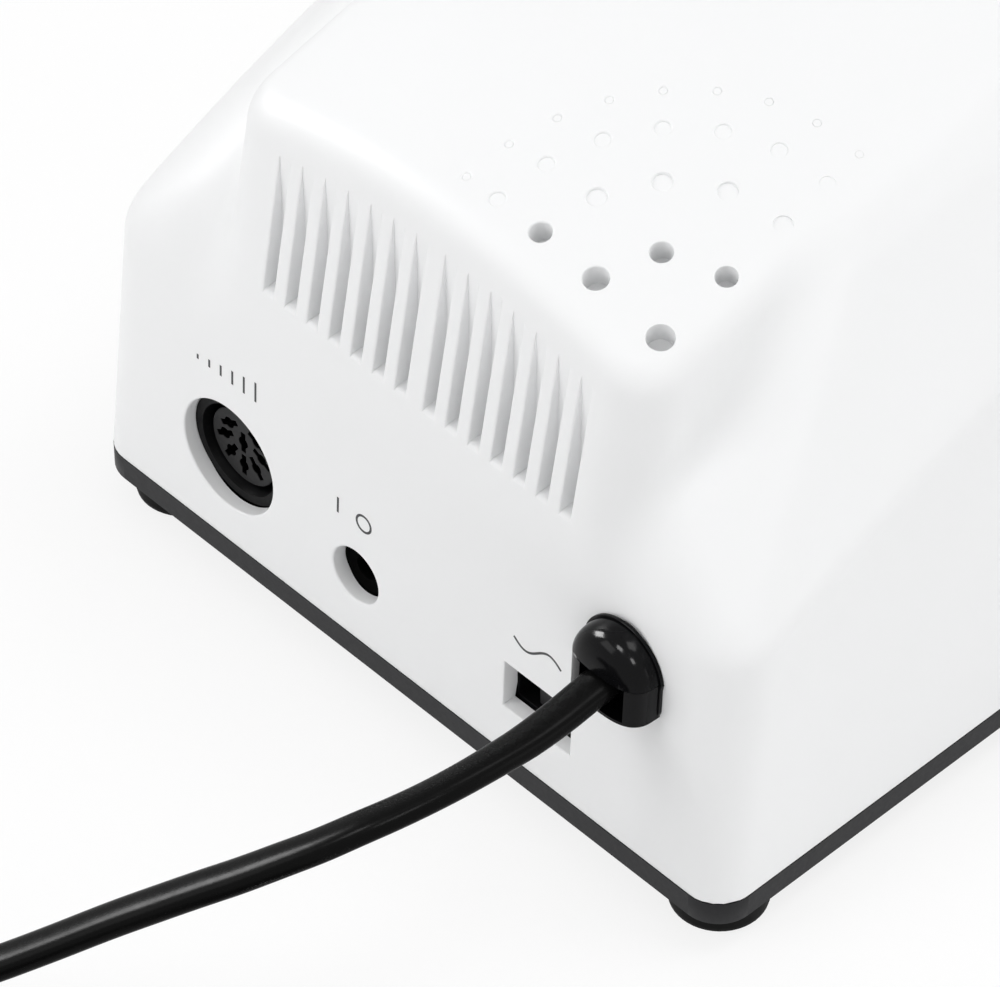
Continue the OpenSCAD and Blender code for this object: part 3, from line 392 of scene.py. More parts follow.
# Moulded finishes: colour, roughness, grain per metre, relief in metres, drift of colour, level of shine
MOULDED = {
    "shell_white": ((0.88, 0.884, 0.888), 0.42, 2600.0, 3e-6, 0.006, 0.1),
    "base_dark": ((0.014, 0.014, 0.0155), 0.5, 1500.0, 8e-6, 0.08, 0.2),
    "rubber_black": ((0.004, 0.004, 0.004), 0.6, 1200.0, 1e-5, 0.08, 0.06),
    "cord_black": ((0.004, 0.004, 0.004), 0.27, 900.0, 6e-6, 0.1, 0.042),
    "bushing_black": ((0.0035, 0.0035, 0.004), 0.14, 700.0, 1e-6, 0.1, 0.1),
    "socket_black": ((0.004, 0.004, 0.0044), 0.4, 1100.0, 5e-6, 0.08, 0.07),
    "jack_black": ((0.0012, 0.0012, 0.0012), 0.6, 1100.0, 5e-6, 0.08, 0.01),
    "insert_grey": ((0.0185, 0.0185, 0.019), 0.5, 1100.0, 6e-6, 0.08, 0.15),
    "board_green": ((0.02, 0.13, 0.05), 0.35, 500.0, 4e-6, 0.12),
    "core_steel": ((0.09, 0.09, 0.1), 0.4, 700.0, 1e-5, 0.2),
    "winding_tape": ((0.6, 0.4, 0.05), 0.3, 300.0, 8e-6, 0.08),
    "part_black": ((0.011, 0.011, 0.012), 0.45, 1100.0, 6e-6, 0.08, 0.25),
    "cap_sleeve": ((0.015, 0.03, 0.13), 0.28, 600.0, 3e-6),
    "block_green": ((0.03, 0.2, 0.07), 0.45, 900.0, 6e-6),
    "knob_black": ((0.011, 0.011, 0.012), 0.38, 1300.0, 6e-6, 0.08, 0.3),
    "mark_grey": ((0.035, 0.035, 0.038), 0.6, 2000.0, 2e-6),
    "rocker_red": ((0.42, 0.012, 0.012), 0.28, 900.0, 3e-6),
    "rocker_black": ((0.011, 0.011, 0.012), 0.28, 900.0, 3e-6, 0.08, 0.3),
    "button_grey": ((0.36, 0.37, 0.39), 0.36, 1200.0, 4e-6),
}

# Metals: colour, roughness
METALS = {
    "contact_brass": ((0.7, 0.58, 0.32), 0.32),
    "screw_steel": ((0.6, 0.6, 0.62), 0.36),
    "sink_aluminium": ((0.7, 0.71, 0.73), 0.42),
    "pot_metal": ((0.55, 0.56, 0.58), 0.34),
    "plug_metal": ((0.75, 0.75, 0.76), 0.2),
}

# Clear finishes: colour, roughness, share of light let through
CLEAR = {
    "fuse_glass": ((0.85, 0.9, 0.92), 0.05, 0.8),
    "lamp_red": ((0.7, 0.03, 0.02), 0.15, 0.4),
}

FINISH = {name: moulded(name, *look) for name, look in MOULDED.items()}
FINISH.update({name: metal(name, *look) for name, look in METALS.items()})
FINISH.update({name: see_through(name, *look) for name, look in CLEAR.items()})


def painted_shade_inside(material, face, fade=(0.16, 0.04), black=0.002):
    """Paints shade on a fitting behind its face at y, where little light gets: colour and shine fade to
    black; fade is two depths behind it.
    """
    tree = material.node_tree
    shader = tree.nodes["Principled BSDF"]
    place = tree.nodes.new("ShaderNodeTexCoord")
    parts = tree.nodes.new("ShaderNodeSeparateXYZ")
    tree.links.new(place.outputs["Object"], parts.inputs[0])
    level = tree.nodes.new("ShaderNodeMapRange")
    level.inputs["From Min"].default_value = REAR_FOOT[1] + (face - fade[0]) * MM
    level.inputs["From Max"].default_value = REAR_FOOT[1] + (face - fade[1]) * MM
    tree.links.new(parts.outputs["Y"], level.inputs["Value"])
    # Painted shade: the colour fades to black behind the face
    mix = tree.nodes.new("ShaderNodeMix")
    mix.data_type = "RGBA"
    mix.inputs["A"].default_value = (black, black, black, 1)
    tree.links.new(level.outputs["Result"], mix.inputs["Factor"])
    tree.links.new(shader.inputs["Base Color"].links[0].from_socket, mix.inputs["B"])
    tree.links.new(mix.outputs["Result"], shader.inputs["Base Color"])
    # Painted shade on the shine as well: reflections fade out behind the face
    shine = tree.nodes.new("ShaderNodeMath")
    shine.operation = "MULTIPLY"
    shine.inputs[1].default_value = shader.inputs["Specular IOR Level"].default_value
    tree.links.new(level.outputs["Result"], shine.inputs[0])
    tree.links.new(shine.outputs[0], shader.inputs["Specular IOR Level"])


# Painted shade in the holes and slits of the round socket's insert
painted_shade_inside(FINISH["insert_grey"], INSERT_FACE)


# Meshes


def mesh_object(name, points, faces, crease=35.0):
    """Object at the origin from bench points and faces; edges sharper than crease stay sharp."""
    data = bpy.data.meshes.new(name)
    data.from_pydata(in_frame(points), [], faces)
    data.validate()
    data.shade_smooth()
    data.set_sharp_from_angle(angle=math.radians(crease))
    obj = bpy.data.objects.new(name, data)
    bpy.context.scene.collection.objects.link(obj)
    return obj


def settle(obj, slot, body, *nodes):
    """Gives a piece its finish, its body and the nodes that it stands for."""
    obj.data.materials.clear()
    obj.data.materials.append(FINISH[slot])
    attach(obj, body)
    if nodes:
        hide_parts(*nodes)
    return obj


def joined(*parts):
    """Several (points, faces) pairs as one pair: faces count on from the points before."""
    points = np.concatenate([p for p, _ in parts])
    start = np.cumsum([0] + [len(p) for p, _ in parts])
    faces = []
    for (_, part), first in zip(parts, start):
        faces += [[i + first for i in face] for face in np.asarray(part, object).tolist()]
    return points, faces


def strip(rows, columns, closed_rows=False, closed_columns=True):
    """Quads of a grid of points numbered row by row, wrapped round where it is closed."""
    i = np.arange(rows if closed_rows else rows - 1)[:, None]
    j = np.arange(columns if closed_columns else columns - 1)[None, :]
    i2, j2 = (i + 1) % rows, (j + 1) % columns
    corners = (i * columns + j, i * columns + j2, i2 * columns + j2, i2 * columns + j)
    return np.stack(np.broadcast_arrays(*corners), -1).reshape(-1, 4)


def capped(rings):
    """Closed skin of a stack of rings (rows, ring, 3): quads between rows and a face on each end."""
    rows, ring = rings.shape[:2]
    faces = strip(rows, ring).tolist()
    faces.append(list(range(ring))[::-1])
    faces.append(list(range((rows - 1) * ring, rows * ring)))
    return rings.reshape(-1, 3), faces


def turned(profile, centre, axis, count=64, side=None):
    """A profile of (radius, height) pairs turned round an axis through centre."""
    axis = unit(np.asarray(axis, float))
    side = np.array([1.0, 0.0, 0.0]) if side is None else np.asarray(side, float)
    side = unit(side - axis * (side @ axis))
    other = np.cross(axis, side)
    a = np.linspace(0, 2 * np.pi, count, endpoint=False)
    spokes = np.cos(a)[:, None] * side + np.sin(a)[:, None] * other
    r, h = np.asarray(profile, float).T[:, :, None, None]
    return capped(r * spokes + h * axis + np.asarray(centre, float))


def ring(profile, centre, axis, count=48):
    """A closed profile of (radius, height) pairs turned round an axis: a ring round a hole."""
    points, _ = turned(profile, centre, axis, count)
    return points, strip(len(profile), count, closed_rows=True)


def arc(centre, r, start, stop, count=7):
    """Points of an arc in a profile, angles in degrees."""
    a = np.radians(np.linspace(start, stop, count))
    return np.stack([centre[0] + r * np.cos(a), centre[1] + r * np.sin(a)], -1).tolist()


def oval(count, power):
    """Points round |u|^power + |v|^power = 1, as two arrays."""
    a = np.linspace(0, 2 * np.pi, count, endpoint=False)
    u = np.sign(np.cos(a)) * np.abs(np.cos(a)) ** (2 / power)
    v = np.sign(np.sin(a)) * np.abs(np.sin(a)) ** (2 / power)
    return u, v


def box_skin(xs, ys, zs):
    """Points and outward quads of a box whose six sides are grids of the given lines."""
    shape = (len(xs), len(ys), len(zs))

    def side(axis, at):
        index = [np.arange(n) for n in shape]
        index[axis] = index[axis][[at]]
        key = np.ravel_multi_index(np.meshgrid(*index, indexing="ij"), shape).squeeze(axis)
        key = key.T if (at == 0) != (axis == 1) else key
        return np.stack([key[:-1, :-1], key[1:, :-1], key[1:, 1:], key[:-1, 1:]], -1).reshape(-1, 4)

    quads = np.concatenate([side(axis, at) for axis in range(3) for at in (0, -1)])
    used, faces = np.unique(quads, return_inverse=True)
    i, j, k = np.unravel_index(used, shape)
    return np.stack([xs[i], ys[j], zs[k]], -1), faces.reshape(-1, 4)


def halved(holds, low, high, rounds):
    """Where a test that holds at low stops holding on the way to high, by halving."""
    for _ in range(rounds):
        half = (low + high) / 2
        held = holds(half)
        low = np.where(held, half, low)
        high = np.where(held, high, half)
    return high


def cut(obj, tool, operation):
    """Applies a Boolean of obj with a tool object, and removes the tool."""
    step = obj.modifiers.new("cut", "BOOLEAN")
    step.object = tool
    step.operation = operation
    step.solver = "MANIFOLD"
    made = bpy.data.meshes.new_from_object(obj.evaluated_get(bpy.context.evaluated_depsgraph_get()))
    obj.modifiers.clear()
    obj.data = made
    bpy.data.objects.remove(tool)


# Cord


def smooth_line(points, step):
    """Curve through given points: a Catmull-Rom spline in chord length, resampled evenly."""
    p = np.asarray(points, float)
    p = np.concatenate([2 * p[:1] - p[1:2], p, 2 * p[-1:] - p[-2:-1]])
    s = np.linspace(0, 1, CORD_SPAN_STEPS + 1)[None, :-1, None]
    a, b, c, d = (p[i : len(p) - 3 + i, None] for i in range(4))
    square = (2 * a - 5 * b + 4 * c - d) * s**2
    cube = (3 * b - a - 3 * c + d) * s**3
    fine = 0.5 * (2 * b + (c - a) * s + square + cube)
    fine = np.concatenate([fine.reshape(-1, 3), p[-2:-1]])
    run = np.concatenate([[0], np.cumsum(np.linalg.norm(np.diff(fine, axis=0), axis=1))])
    even = np.linspace(0, run[-1], int(run[-1] / step) + 1)
    return np.stack([np.interp(even, run, fine[:, k]) for k in range(3)], -1)


def coil_line():
    """Two flat spirals, in and out again, with a layer's climb in the half turn where they meet."""
    half = COIL_TURNS / 2
    t = np.linspace(0, COIL_TURNS, round(COIL_TURNS * COIL_STEPS) + 1)
    climb = np.clip((t - half + COIL_CLIMB / 2) / COIL_CLIMB, 0, 1)
    r = COIL_R - COIL_PITCH * (half - np.sqrt((t - half) ** 2 + COIL_BEND**2))
    a = COIL_START + 2 * np.pi * t
    z = COIL_Z + COIL_LAYER * climb**2 * (3 - 2 * climb)
    return np.stack([COIL_MID[0] + r * np.cos(a), COIL_MID[1] + r * np.sin(a), z], -1)


def cord_route():
    """Route of the cord: out of the bushing and down, into the coil, and off to the plug."""
    x, z = BUSHING[0], CORD_Z
    coil = coil_line()
    way_in = unit(coil[1] - coil[0])
    way_out = unit(coil[-1] - coil[-2])
    free = [(x, -7, z), (x, -3, z), (x, 1, z), (x, 5, 30.3), (x, 10, 29.7), (-39.8, 15.5, 29.4),
            (-39.5, 21, 29.5), (-38.9, 26, 29.4), (-37.9, 30.5, 29), (-36.7, 34.5, 28.5),
            (-35.2, 38.4, 27.8), (-32.8, 42.7, 26.1), (-29.8, 46.5, 23.9), (-26.6, 50, 21.4),
            (-23.1, 53.5, 18.8), (-19.5, 57, 16), (-15.2, 61.3, 12.6), (-10, 66.6, 8.2), (-5.6, 71, 4.6),
            (-0.5, 76.2, 0.8), (5, 82, -2.6), (10.5, 88, -4.8), (15.6, 94.2, -5.8), coil[0] - 6 * way_in]
    tail = [coil[-1] + 5 * way_out, coil[-1] + 10 * way_out + (0, 0, -0.5), (-52.1, 130.2, -1.4),
            (-53.4, 125.4, -2.5), (-53.9, 120.2, -3.2), (-53.8, 114.6, -3.3), (-53.4, 109.2, -2.7),
            (-53, 104.4, -1.9), (-53, 100, -1.9)]
    return smooth_line(np.concatenate([free, coil, tail]), CORD_STEP)


def cord_roll(run):
    """Roll of the flat cord: a bell curve near the bushing, and a slight roll that fades in the coil."""
    hump = ROLL_HUMP * np.exp(-(((run - ROLL_AT) / ROLL_SPAN) ** 2))
    rest = ROLL_REST * np.clip((ROLL_END - run) / ROLL_FADE, 0, 1)
    return np.radians(hump + rest)


def flat_tube(line):
    """The cord's flat oval carried along its line, square to it, and rolled."""
    ahead = unit(np.gradient(line, axis=0))
    level = unit(np.cross([0.0, 0.0, 1.0], ahead))
    roll = cord_roll(np.arange(len(line)) * CORD_STEP)[:, None]
    across = level * np.cos(roll) + np.cross(ahead, level) * np.sin(roll)
    above = np.cross(ahead, across)
    u, v = oval(28, CORD_POWER)
    wide = (u * CORD_W / 2)[None, :, None] * across[:, None]
    thick = (v * CORD_T / 2)[None, :, None] * above[:, None]
    return capped(line[:, None] + wide + thick)


route = cord_route()
cord = mesh_object("mains_cord", *flat_tube(route))
settle(cord, "cord_black", "case", "cord", "cord_coil", "cord_tail")


# Shell


def rounded_and(a, b, r):
    """Inside both fields, with the edge where they meet rounded to about r."""
    return np.minimum(np.maximum(a, b), -r) + np.hypot(np.maximum(a + r, 0), np.maximum(b + r, 0))


def rounded_or(a, b, r):
    """Inside either field, with the valley where they meet filled to about r."""
    return -rounded_and(-a, -b, r)


def soft_and(a, b, k):
    """Inside both fields, with a slow blend over the band where they differ by less than k."""
    near = np.maximum(k - np.abs(a - b), 0) / k
    return np.maximum(a, b) + near * near * k / 4


def plane(p, normal, through):
    """Distance in front of a plane."""
    n = unit(np.asarray(normal, float))
    return p @ n - np.dot(n, through)


def crown(p):
    """Distance outside the crown: a large cylinder lying along the bonnet's rising top."""
    up = unit(np.array([0.0, TOP_RISE, 1.0]))
    h = (p - np.array([0.0, BONNET_Y, BONNET_Z])) @ up
    return np.hypot(p[:, 0], h + CROWN_R) - CROWN_R


def vent(p):
    """Distance behind the leaning vent face."""
    return plane(p, (0, 1, VENT_LEAN), (0, VENT_FOOT_Y, 0))


def walls(p):
    """Distance outside the drafted walls: a rectangle that narrows with height, rounder at its corners."""
    z = p[:, 2]
    r = CORNER_R + CORNER_GROWTH * np.maximum(z, 0)
    qx = np.abs(p[:, 0]) - HALF_W + SIDE_DRAFT * z + r
    qy = np.abs(p[:, 1] + CASE_D / 2) - CASE_D / 2 + DRAFT * z + r
    return np.hypot(np.maximum(qx, 0), np.maximum(qy, 0)) + np.minimum(np.maximum(qx, qy), 0) - r


def shoulders(p):
    """Distance above the sloping shoulders: three planes on each side, blended into one bent sheet."""
    q = np.stack([np.abs(p[:, 0]), p[:, 1], p[:, 2]], -1)
    s, c = math.sin(SHOULDER_A), math.cos(SHOULDER_A)
    rear, middle, front = (
        plane(q, (s, rise * c, c), (HALF_W - SIDE_DRAFT * z, y, z)) for rise, y, z in SHOULDERS
    )
    return soft_and(soft_and(rear, middle, SHOULDER_BLENDS[0]), front, SHOULDER_BLENDS[1])


def body(p):
    """Body of the case: shoulders and scoops joined with the bonnet, inside walls, crown and panel."""
    x = np.abs(p[:, 0])
    ramp = plane(p, (0, RAMP_RISE, 1), (0, 0, RAMP_Z))
    low = rounded_and(shoulders(p), ramp, RAMP_ROUND)
    bonnet = rounded_and(x - BONNET_HALF, RIDGE_Y - p[:, 1], BONNET_ROUND)
    low = rounded_or(low, bonnet, BONNET_FILL)
    rear = soft_and(walls(p), vent(p), REAR_BLEND)
    inward = np.clip((HALF_W - EDGE_MARGIN - x) / EDGE_RUN, 0, 1)
    near_bonnet = np.clip((BONNET_EDGE_X - x) / BONNET_EDGE_RUN, 0, 1)
    edge = EDGE_ROUND + EDGE_GROWTH * inward + BONNET_EDGE * near_bonnet
    made = rounded_and(rear, low, edge)
    made = rounded_and(made, crown(p), CROWN_ROUND)
    return rounded_and(made, plane(p, PANEL_N, PANEL_MID), PANEL_ROUND)


def outer(p):
    """The body above the shell's lower edge."""
    return rounded_and(body(p), -p[:, 2], FOOT_ROUND)


def hollow(p):
    """The room inside the shell: deeper under the crown and the vent, open below."""
    deep = np.maximum(crown(p), vent(p)) + ROOF
    return np.maximum(np.maximum(body(p) + WALL, deep), -p[:, 2] - 1)


def star(field, points, faces):
    """Skin of a field: the place where each ray from the shell's middle to a grid point leaves it."""
    ray = points - SHELL_MIDDLE

    def inside(share):
        return field(SHELL_MIDDLE + share[:, None] * ray) < 0

    share = halved(inside, np.zeros(len(ray)), np.full(len(ray), 1.5), 34)
    return SHELL_MIDDLE + share[:, None] * ray, faces


def crease_height(y):
    """Height where the shoulder meets the side wall, at each y."""

    def below(z):
        return shoulders(np.stack([HALF_W - SIDE_DRAFT * z, y, z], -1)) < 0

    return halved(below, np.zeros(len(y)), np.full(len(y), BOX_HIGH_Z), 30)


def shell_grid():
    """Grid of the box round the case: level lines, bent and close together along the shoulder's crease."""
    x = np.linspace(-BOX_HALF_X, BOX_HALF_X, 111)
    y = np.concatenate([np.arange(BOX_FRONT_Y, BOX_FINE_Y, 1.8), np.arange(BOX_FINE_Y, BOX_REAR_Y, 0.9)])
    close = np.linspace(-CREASE_BAND, CREASE_BAND, 21) + CREASE_LINE
    under = np.linspace(BOX_LOW_Z, close[0], 47)[:-1]
    over = np.linspace(close[-1], BOX_HIGH_Z, 44)[1:]
    points, faces = box_skin(x, y, np.concatenate([under, close, over]))
    shrink = (HALF_W - SIDE_DRAFT * CREASE_LINE) / BOX_HALF_X
    mid_y, mid_z = SHELL_MIDDLE[1], SHELL_MIDDLE[2]
    wanted = mid_z + (crease_height(mid_y + shrink * (points[:, 1] - mid_y)) - mid_z) / shrink
    below = (points[:, 2] - BOX_LOW_Z) / (CREASE_LINE - BOX_LOW_Z)
    above = (BOX_HIGH_Z - points[:, 2]) / (BOX_HIGH_Z - CREASE_LINE)
    points[:, 2] += (wanted - CREASE_LINE) * np.minimum(below, above)
    return points, faces


def room_grid():
    """Coarser grid for the room inside."""
    x = np.linspace(-BOX_HALF_X, BOX_HALF_X, 41)
    y = np.concatenate([np.arange(BOX_FRONT_Y, BOX_FINE_Y, 5.0), np.arange(BOX_FINE_Y, BOX_REAR_Y, 3.0)])
    return box_skin(x, y, np.linspace(BOX_LOW_Z, BOX_HIGH_Z, 34))


def flare(depth, r):
    """Widening of an opening's mouth: a quarter round of radius r that dies out at depth r."""
    return r - np.sqrt(np.maximum(r * r - np.maximum(r - depth, 0) ** 2, 0))


def slot_tool(x):
    """A blind slot: upright back, flat foot with a round lip, mouth rounded into the leaning face."""
    layers = np.array([-1.5, 0.0, 0.03, 0.08, 0.15, SLOT_ROUND, 0.4, 0.6, SLOT_LIP, CUT_IN])
    p, faces = box_skin(np.array([-1.0, 1.0]), layers[::-1], np.linspace(0, 1, 13))
    depth = np.maximum(p[:, 1], 0)
    back = SLOT_BOW * (x / SLOT_HALF_ROW) ** 2 - SLOT_BACK
    z0 = SLOT_FOOT_Z + SLOT_TILT * x - flare(depth, SLOT_LIP)
    z = z0 + p[:, 2] * (SLOT_TOP_Z - z0)
    face = (VENT_FOOT_Y - VENT_LEAN * z) - p[:, 1]
    y = np.maximum(back - SLOT_BACK_DRAFT * p[:, 1], face)
    return np.stack([x + p[:, 0] * (SLOT_W / 2 + flare(depth, SLOT_ROUND)), y, z], -1), faces


def round_tool(across, up, r, round_r):
    """A round opening through the rear wall, its mouth rounded."""
    depth = np.array([0.0, 0.1, 0.3, 0.6, 1.0]) * round_r
    mouth = [(r + flare(d, round_r), -d) for d in depth]
    profile = [(r, -CUT_IN), *mouth[::-1], (r + round_r, CUT_OUT)]
    return turned(profile, (across, -DRAFT * up, up), REAR_N)


def window_tool():
    """The selector's window: a rectangle through the rear wall, its mouth rounded a little."""
    layers = np.array([-CUT_OUT, 0.0, 0.04, 0.12, WINDOW_ROUND, CUT_IN])
    p, faces = box_skin(np.array([-1.0, 1.0]), layers[::-1], np.array([-1.0, 1.0]))
    wide = flare(np.maximum(p[:, 1], 0), WINDOW_ROUND)
    z = WINDOW[1] + p[:, 2] * (WINDOW_SIZE[1] / 2 + wide)
    x = WINDOW[0] + p[:, 0] * (WINDOW_SIZE[0] / 2 + wide)
    return np.stack([x, -DRAFT * z - p[:, 1], z], -1), faces


def top_point(x, y):
    """Point of the crown's surface over x and y, and the direction square to it."""
    z = BONNET_Z + TOP_RISE * (BONNET_Y - y) - x * x / (2 * CROWN_R)
    return np.array([x, y, z]), np.array([x / CROWN_R, TOP_RISE, 1.0])


def fan_tools():
    """Holes in a quarter fan on the bonnet: deep near the corner, then dimples that grow faint.

    The first hole of the second and third rings is deep and a little wider.
    """
    x, y = FAN_CORNER
    made = []
    for k, (reach, count, r, depth) in enumerate(FAN_RINGS):
        for j in range(count):
            a = math.pi / 2 * j / max(count - 1, 1)
            first = j == 0 and k in (1, 2)
            deep = FAN_DEEP if first else depth
            wide = r + (FAN_WIDER if first else 0.0)
            point, up = top_point(x + reach * math.cos(a), y - reach * math.sin(a))
            mouth = [(wide + flare(d, FAN_ROUND), -d) for d in (FAN_ROUND, 0.18, 0.09, 0.03, 0.0)]
            made.append(turned([(wide, -deep), *mouth, (wide + FAN_ROUND, 1.5)], point, up, 32))
    return made


def on_panel(u, v, w=0.0):
    """Point of the panel: right, up the slope, out."""
    return PANEL_MID + u * PANEL_U + v * PANEL_V + w * PANEL_N


def slab_tool(u, v, wide, tall):
    """A rectangular opening through the panel."""
    way = np.array([-1.0, 1.0])
    p, faces = box_skin(way * wide / 2, way * tall / 2, way * PANEL_CUT)
    return on_panel(u, v) + p @ np.stack([PANEL_U, PANEL_V, PANEL_N]), faces


def shell():
    """White upper shell: the body's skin, hollowed, with every opening cut."""
    made = mesh_object("shell", *star(outer, *shell_grid()))
    cut(made, mesh_object("room", *star(hollow, *room_grid())), "DIFFERENCE")
    middle = (SLOT_COUNT - 1) / 2
    slots = [slot_tool((middle - i) * SLOT_PITCH + math.copysign(SLOT_MID / 2, middle - i) + SLOT_SHIFT)
             for i in range(SLOT_COUNT)]
    rear = [round_tool(*SOCKET, SOCKET_R, MOUTH_ROUND), round_tool(*JACK, JACK_R, MOUTH_ROUND),
            round_tool(*BUSHING, BUSHING_HOLE_R, BUSHING_MOUTH), window_tool()]
    x, z = HANDPIECE
    bore = [(HANDPIECE_HOLE_R, -8.0), (HANDPIECE_HOLE_R, 6.0)]
    front = turned(bore, (x, -CASE_D + DRAFT * z, z), (0, -1, 0))
    panel = [turned([(r, -PANEL_CUT), (r, PANEL_CUT)], on_panel(*at), PANEL_N, 48)
             for at, r in ((KNOB, KNOB_HOLE_R), (BUTTON, BUTTON_HOLE_R), (LAMP, LAMP_HOLE_R))]
    panel += [slab_tool(ROCKER_U, v, *ROCKER_WINDOW) for v in ROCKER_V.values()]
    cut(made, mesh_object("tools", *joined(*slots, *rear, front, *panel, *fan_tools())), "DIFFERENCE")
    made.data.shade_smooth()
    made.data.set_sharp_from_angle(angle=math.radians(32))
    return settle(made, "shell_white", "case", "upper_shell")


shell()


# Bushing


def on_rear(p):
    """Points of across, out and up at the bushing's seat, square on the leaning rear wall."""
    rise = np.array([0.0, -DRAFT, 1.0]) / math.hypot(1.0, DRAFT)
    seat = np.array([BUSHING[0], -DRAFT * BUSHING[1], BUSHING[1]])
    return seat + np.asarray(p, float) @ np.stack([PANEL_U, REAR_N, rise])


def rear_block(name, across, out, up):
    """A box at the bushing's seat, for cutting."""
    points, faces = box_skin(np.array(across), np.array(out), np.array(up))
    return mesh_object(name, on_rear(points), faces)


def bullnose(count=22):
    """Half outline of the bushing's nose, (r/a)^n + (h/b)^n = 1, from its side to almost its middle."""
    t = np.linspace(0, NOSE_STOP, count)
    r = BUSHING_R * np.cos(t) ** (2 / NOSE_POWER)
    out = NOSE_FOOT + (NOSE - NOSE_FOOT) * np.sin(t) ** (2 / NOSE_POWER)
    return np.stack([r, out], -1)


def bushing_upper():
    """Upper half: neck, thin flange and a round nose, cut off at the parting plane."""
    neck = [(NECK_R - NECK_EASE, -NECK_LEN), (NECK_R, NECK_EASE - NECK_LEN), (NECK_R, 0.0)]
    flange = [(FLANGE_R - FLANGE_EASE, 0.0), (FLANGE_R, FLANGE_EASE), (FLANGE_R, FLANGE_T - FLANGE_EASE),
              (FLANGE_R - FLANGE_EASE, FLANGE_T), (BUSHING_R, FLANGE_T)]
    points, faces = turned(np.concatenate([neck, flange, bullnose()]), (0, 0, 0), (0, 1, 0), 112)
    made = mesh_object("bushing_top", on_rear(points), faces)
    cut(made, rear_block("half", [-9, 9], [-6, 6], [PARTING + PARTING_GAP, 9]), "INTERSECT")
    return made


def outline_slab(outline, stations):
    """An outline of across and up carried straight out through stations of (out, shrink)."""
    across, up = outline.T
    rows = [np.stack([across * k, np.full(len(outline), out), up * k], -1) for out, k in stations]
    points, faces = capped(np.stack(rows))
    return on_rear(points), faces


def bushing_lower():
    """Lower half: legs and a floor with the nose's outline, a web behind the cord, flange and neck.

    Stations along the legs are (up, shrink), and those of the flange and neck (out, shrink).
    """
    top = PARTING - PARTING_GAP
    nose = bullnose() * (LEG_NARROW, 1.0)
    plan = np.concatenate([[(nose[0, 0], 0.0)], nose, nose[::-1] * (-1, 1), [(-nose[0, 0], 0.0)]])
    stations = ((-BUSHING_LOW, 0.95), (0.25 - BUSHING_LOW, 1.0), (top - 0.1, 1.0), (top, 0.98))
    across, out = plan.T
    legs = [np.stack([across * k, out * k, np.full(len(plan), up)], -1) for up, k in stations]
    points, faces = capped(np.stack(legs))
    made = mesh_object("bushing_foot", on_rear(points), faces)
    cut(made, rear_block("gap", LEG_GAP, [LEG_BACK, 9], [LEG_FLOOR - BUSHING_LOW, 9]), "DIFFERENCE")
    side = FLANGE_R - 0.25
    low = BUSHING_LOW + 0.35
    corner = 1.8
    lie = math.sqrt(FLANGE_R**2 - top**2)
    right = arc((side - corner, corner - low), corner, 0, -90)
    left = arc((corner - side, corner - low), corner, -90, -180)
    flange = np.array([(-lie, top), (lie, top), (side, 0.0), *right, *left, (-side, 0.0)])
    eased = ((0.0, 1.0), (FLANGE_T - FLANGE_EASE, 1.0), (FLANGE_T, 0.985))
    cut(made, mesh_object("flange", *outline_slab(flange, eased)), "UNION")
    reach = math.degrees(math.asin(top / NECK_R))
    neck = np.array(arc((0, 0), NECK_R, reach, -180 - reach, 40))
    cut(made, mesh_object("neck", *outline_slab(neck, ((-NECK_LEN, 1.0), (0.2, 1.0)))), "UNION")
    lie_z = CORD_Z - BUSHING[1]
    cord_room = [lie_z - CORD_T / 2, lie_z + CORD_T / 2 + 0.5]
    cut(made, rear_block("way", [-CORD_W / 2, CORD_W / 2], [-9, 9], cord_room), "DIFFERENCE")
    return made


for made, node in ((bushing_upper(), "bushing_upper"), (bushing_lower(), "bushing_lower")):
    made.data.shade_smooth()
    made.data.set_sharp_from_angle(angle=math.radians(30))
    settle(made, "bushing_black", "case", node)


# Round socket


def slit_tool(across, up, lean):
    """A contact's slit: an upright box, leaned about the way in."""
    way = np.array([-1.0, 1.0])
    p, faces = box_skin(way * SLIT_W / 2, np.array([SLIT_IN, SLIT_OUT]), way * SLIT_H / 2)
    s, c = math.sin(lean), math.cos(lean)
    x = across + p[:, 0] * c + p[:, 2] * s
    z = up - p[:, 0] * s + p[:, 2] * c
    return np.stack([x, p[:, 1], z], -1), faces


def socket_insert():
    """Insert of the round socket: a disc with an eased rim, and a hole and a slit for each contact."""
    x, z = SOCKET
    mid_z = z + CONTACT_RISE
    contacts = [(x, mid_z + CONTACT_MID, 0.0)]
    for i in range(-3, 4):
        a = CONTACT_STEP * i
        lean = math.radians(-np.sign(i) * SLIT_LEAN[abs(i)])
        contacts.append((x + CONTACT_CIRCLE * math.sin(a), mid_z - CONTACT_CIRCLE * math.cos(a), lean))
    rim = [(INSERT_R, INSERT_FACE - INSERT_EASE), (INSERT_R - INSERT_EASE, INSERT_FACE)]
    made = mesh_object("insert", *turned([(INSERT_R, INSERT_FLOOR), *rim], (x, 0.0, z), (0, 1, 0), 96))
    bore = [(CONTACT_R, CONTACT_FLOOR), (CONTACT_R, 0.0)]
    holes = [turned(bore, (across, 0.0, up), (0, 1, 0), 24) for across, up, _ in contacts]
    slits = [slit_tool(*contact) for contact in contacts]
    cut(made, mesh_object("holes", *joined(*holes)), "DIFFERENCE")
    cut(made, mesh_object("slits", *joined(*slits)), "DIFFERENCE")
    made.data.set_sharp_from_angle(angle=math.radians(30))
    return settle(made, "insert_grey", "case", "din_insert")


socket_insert()


# Printed marks


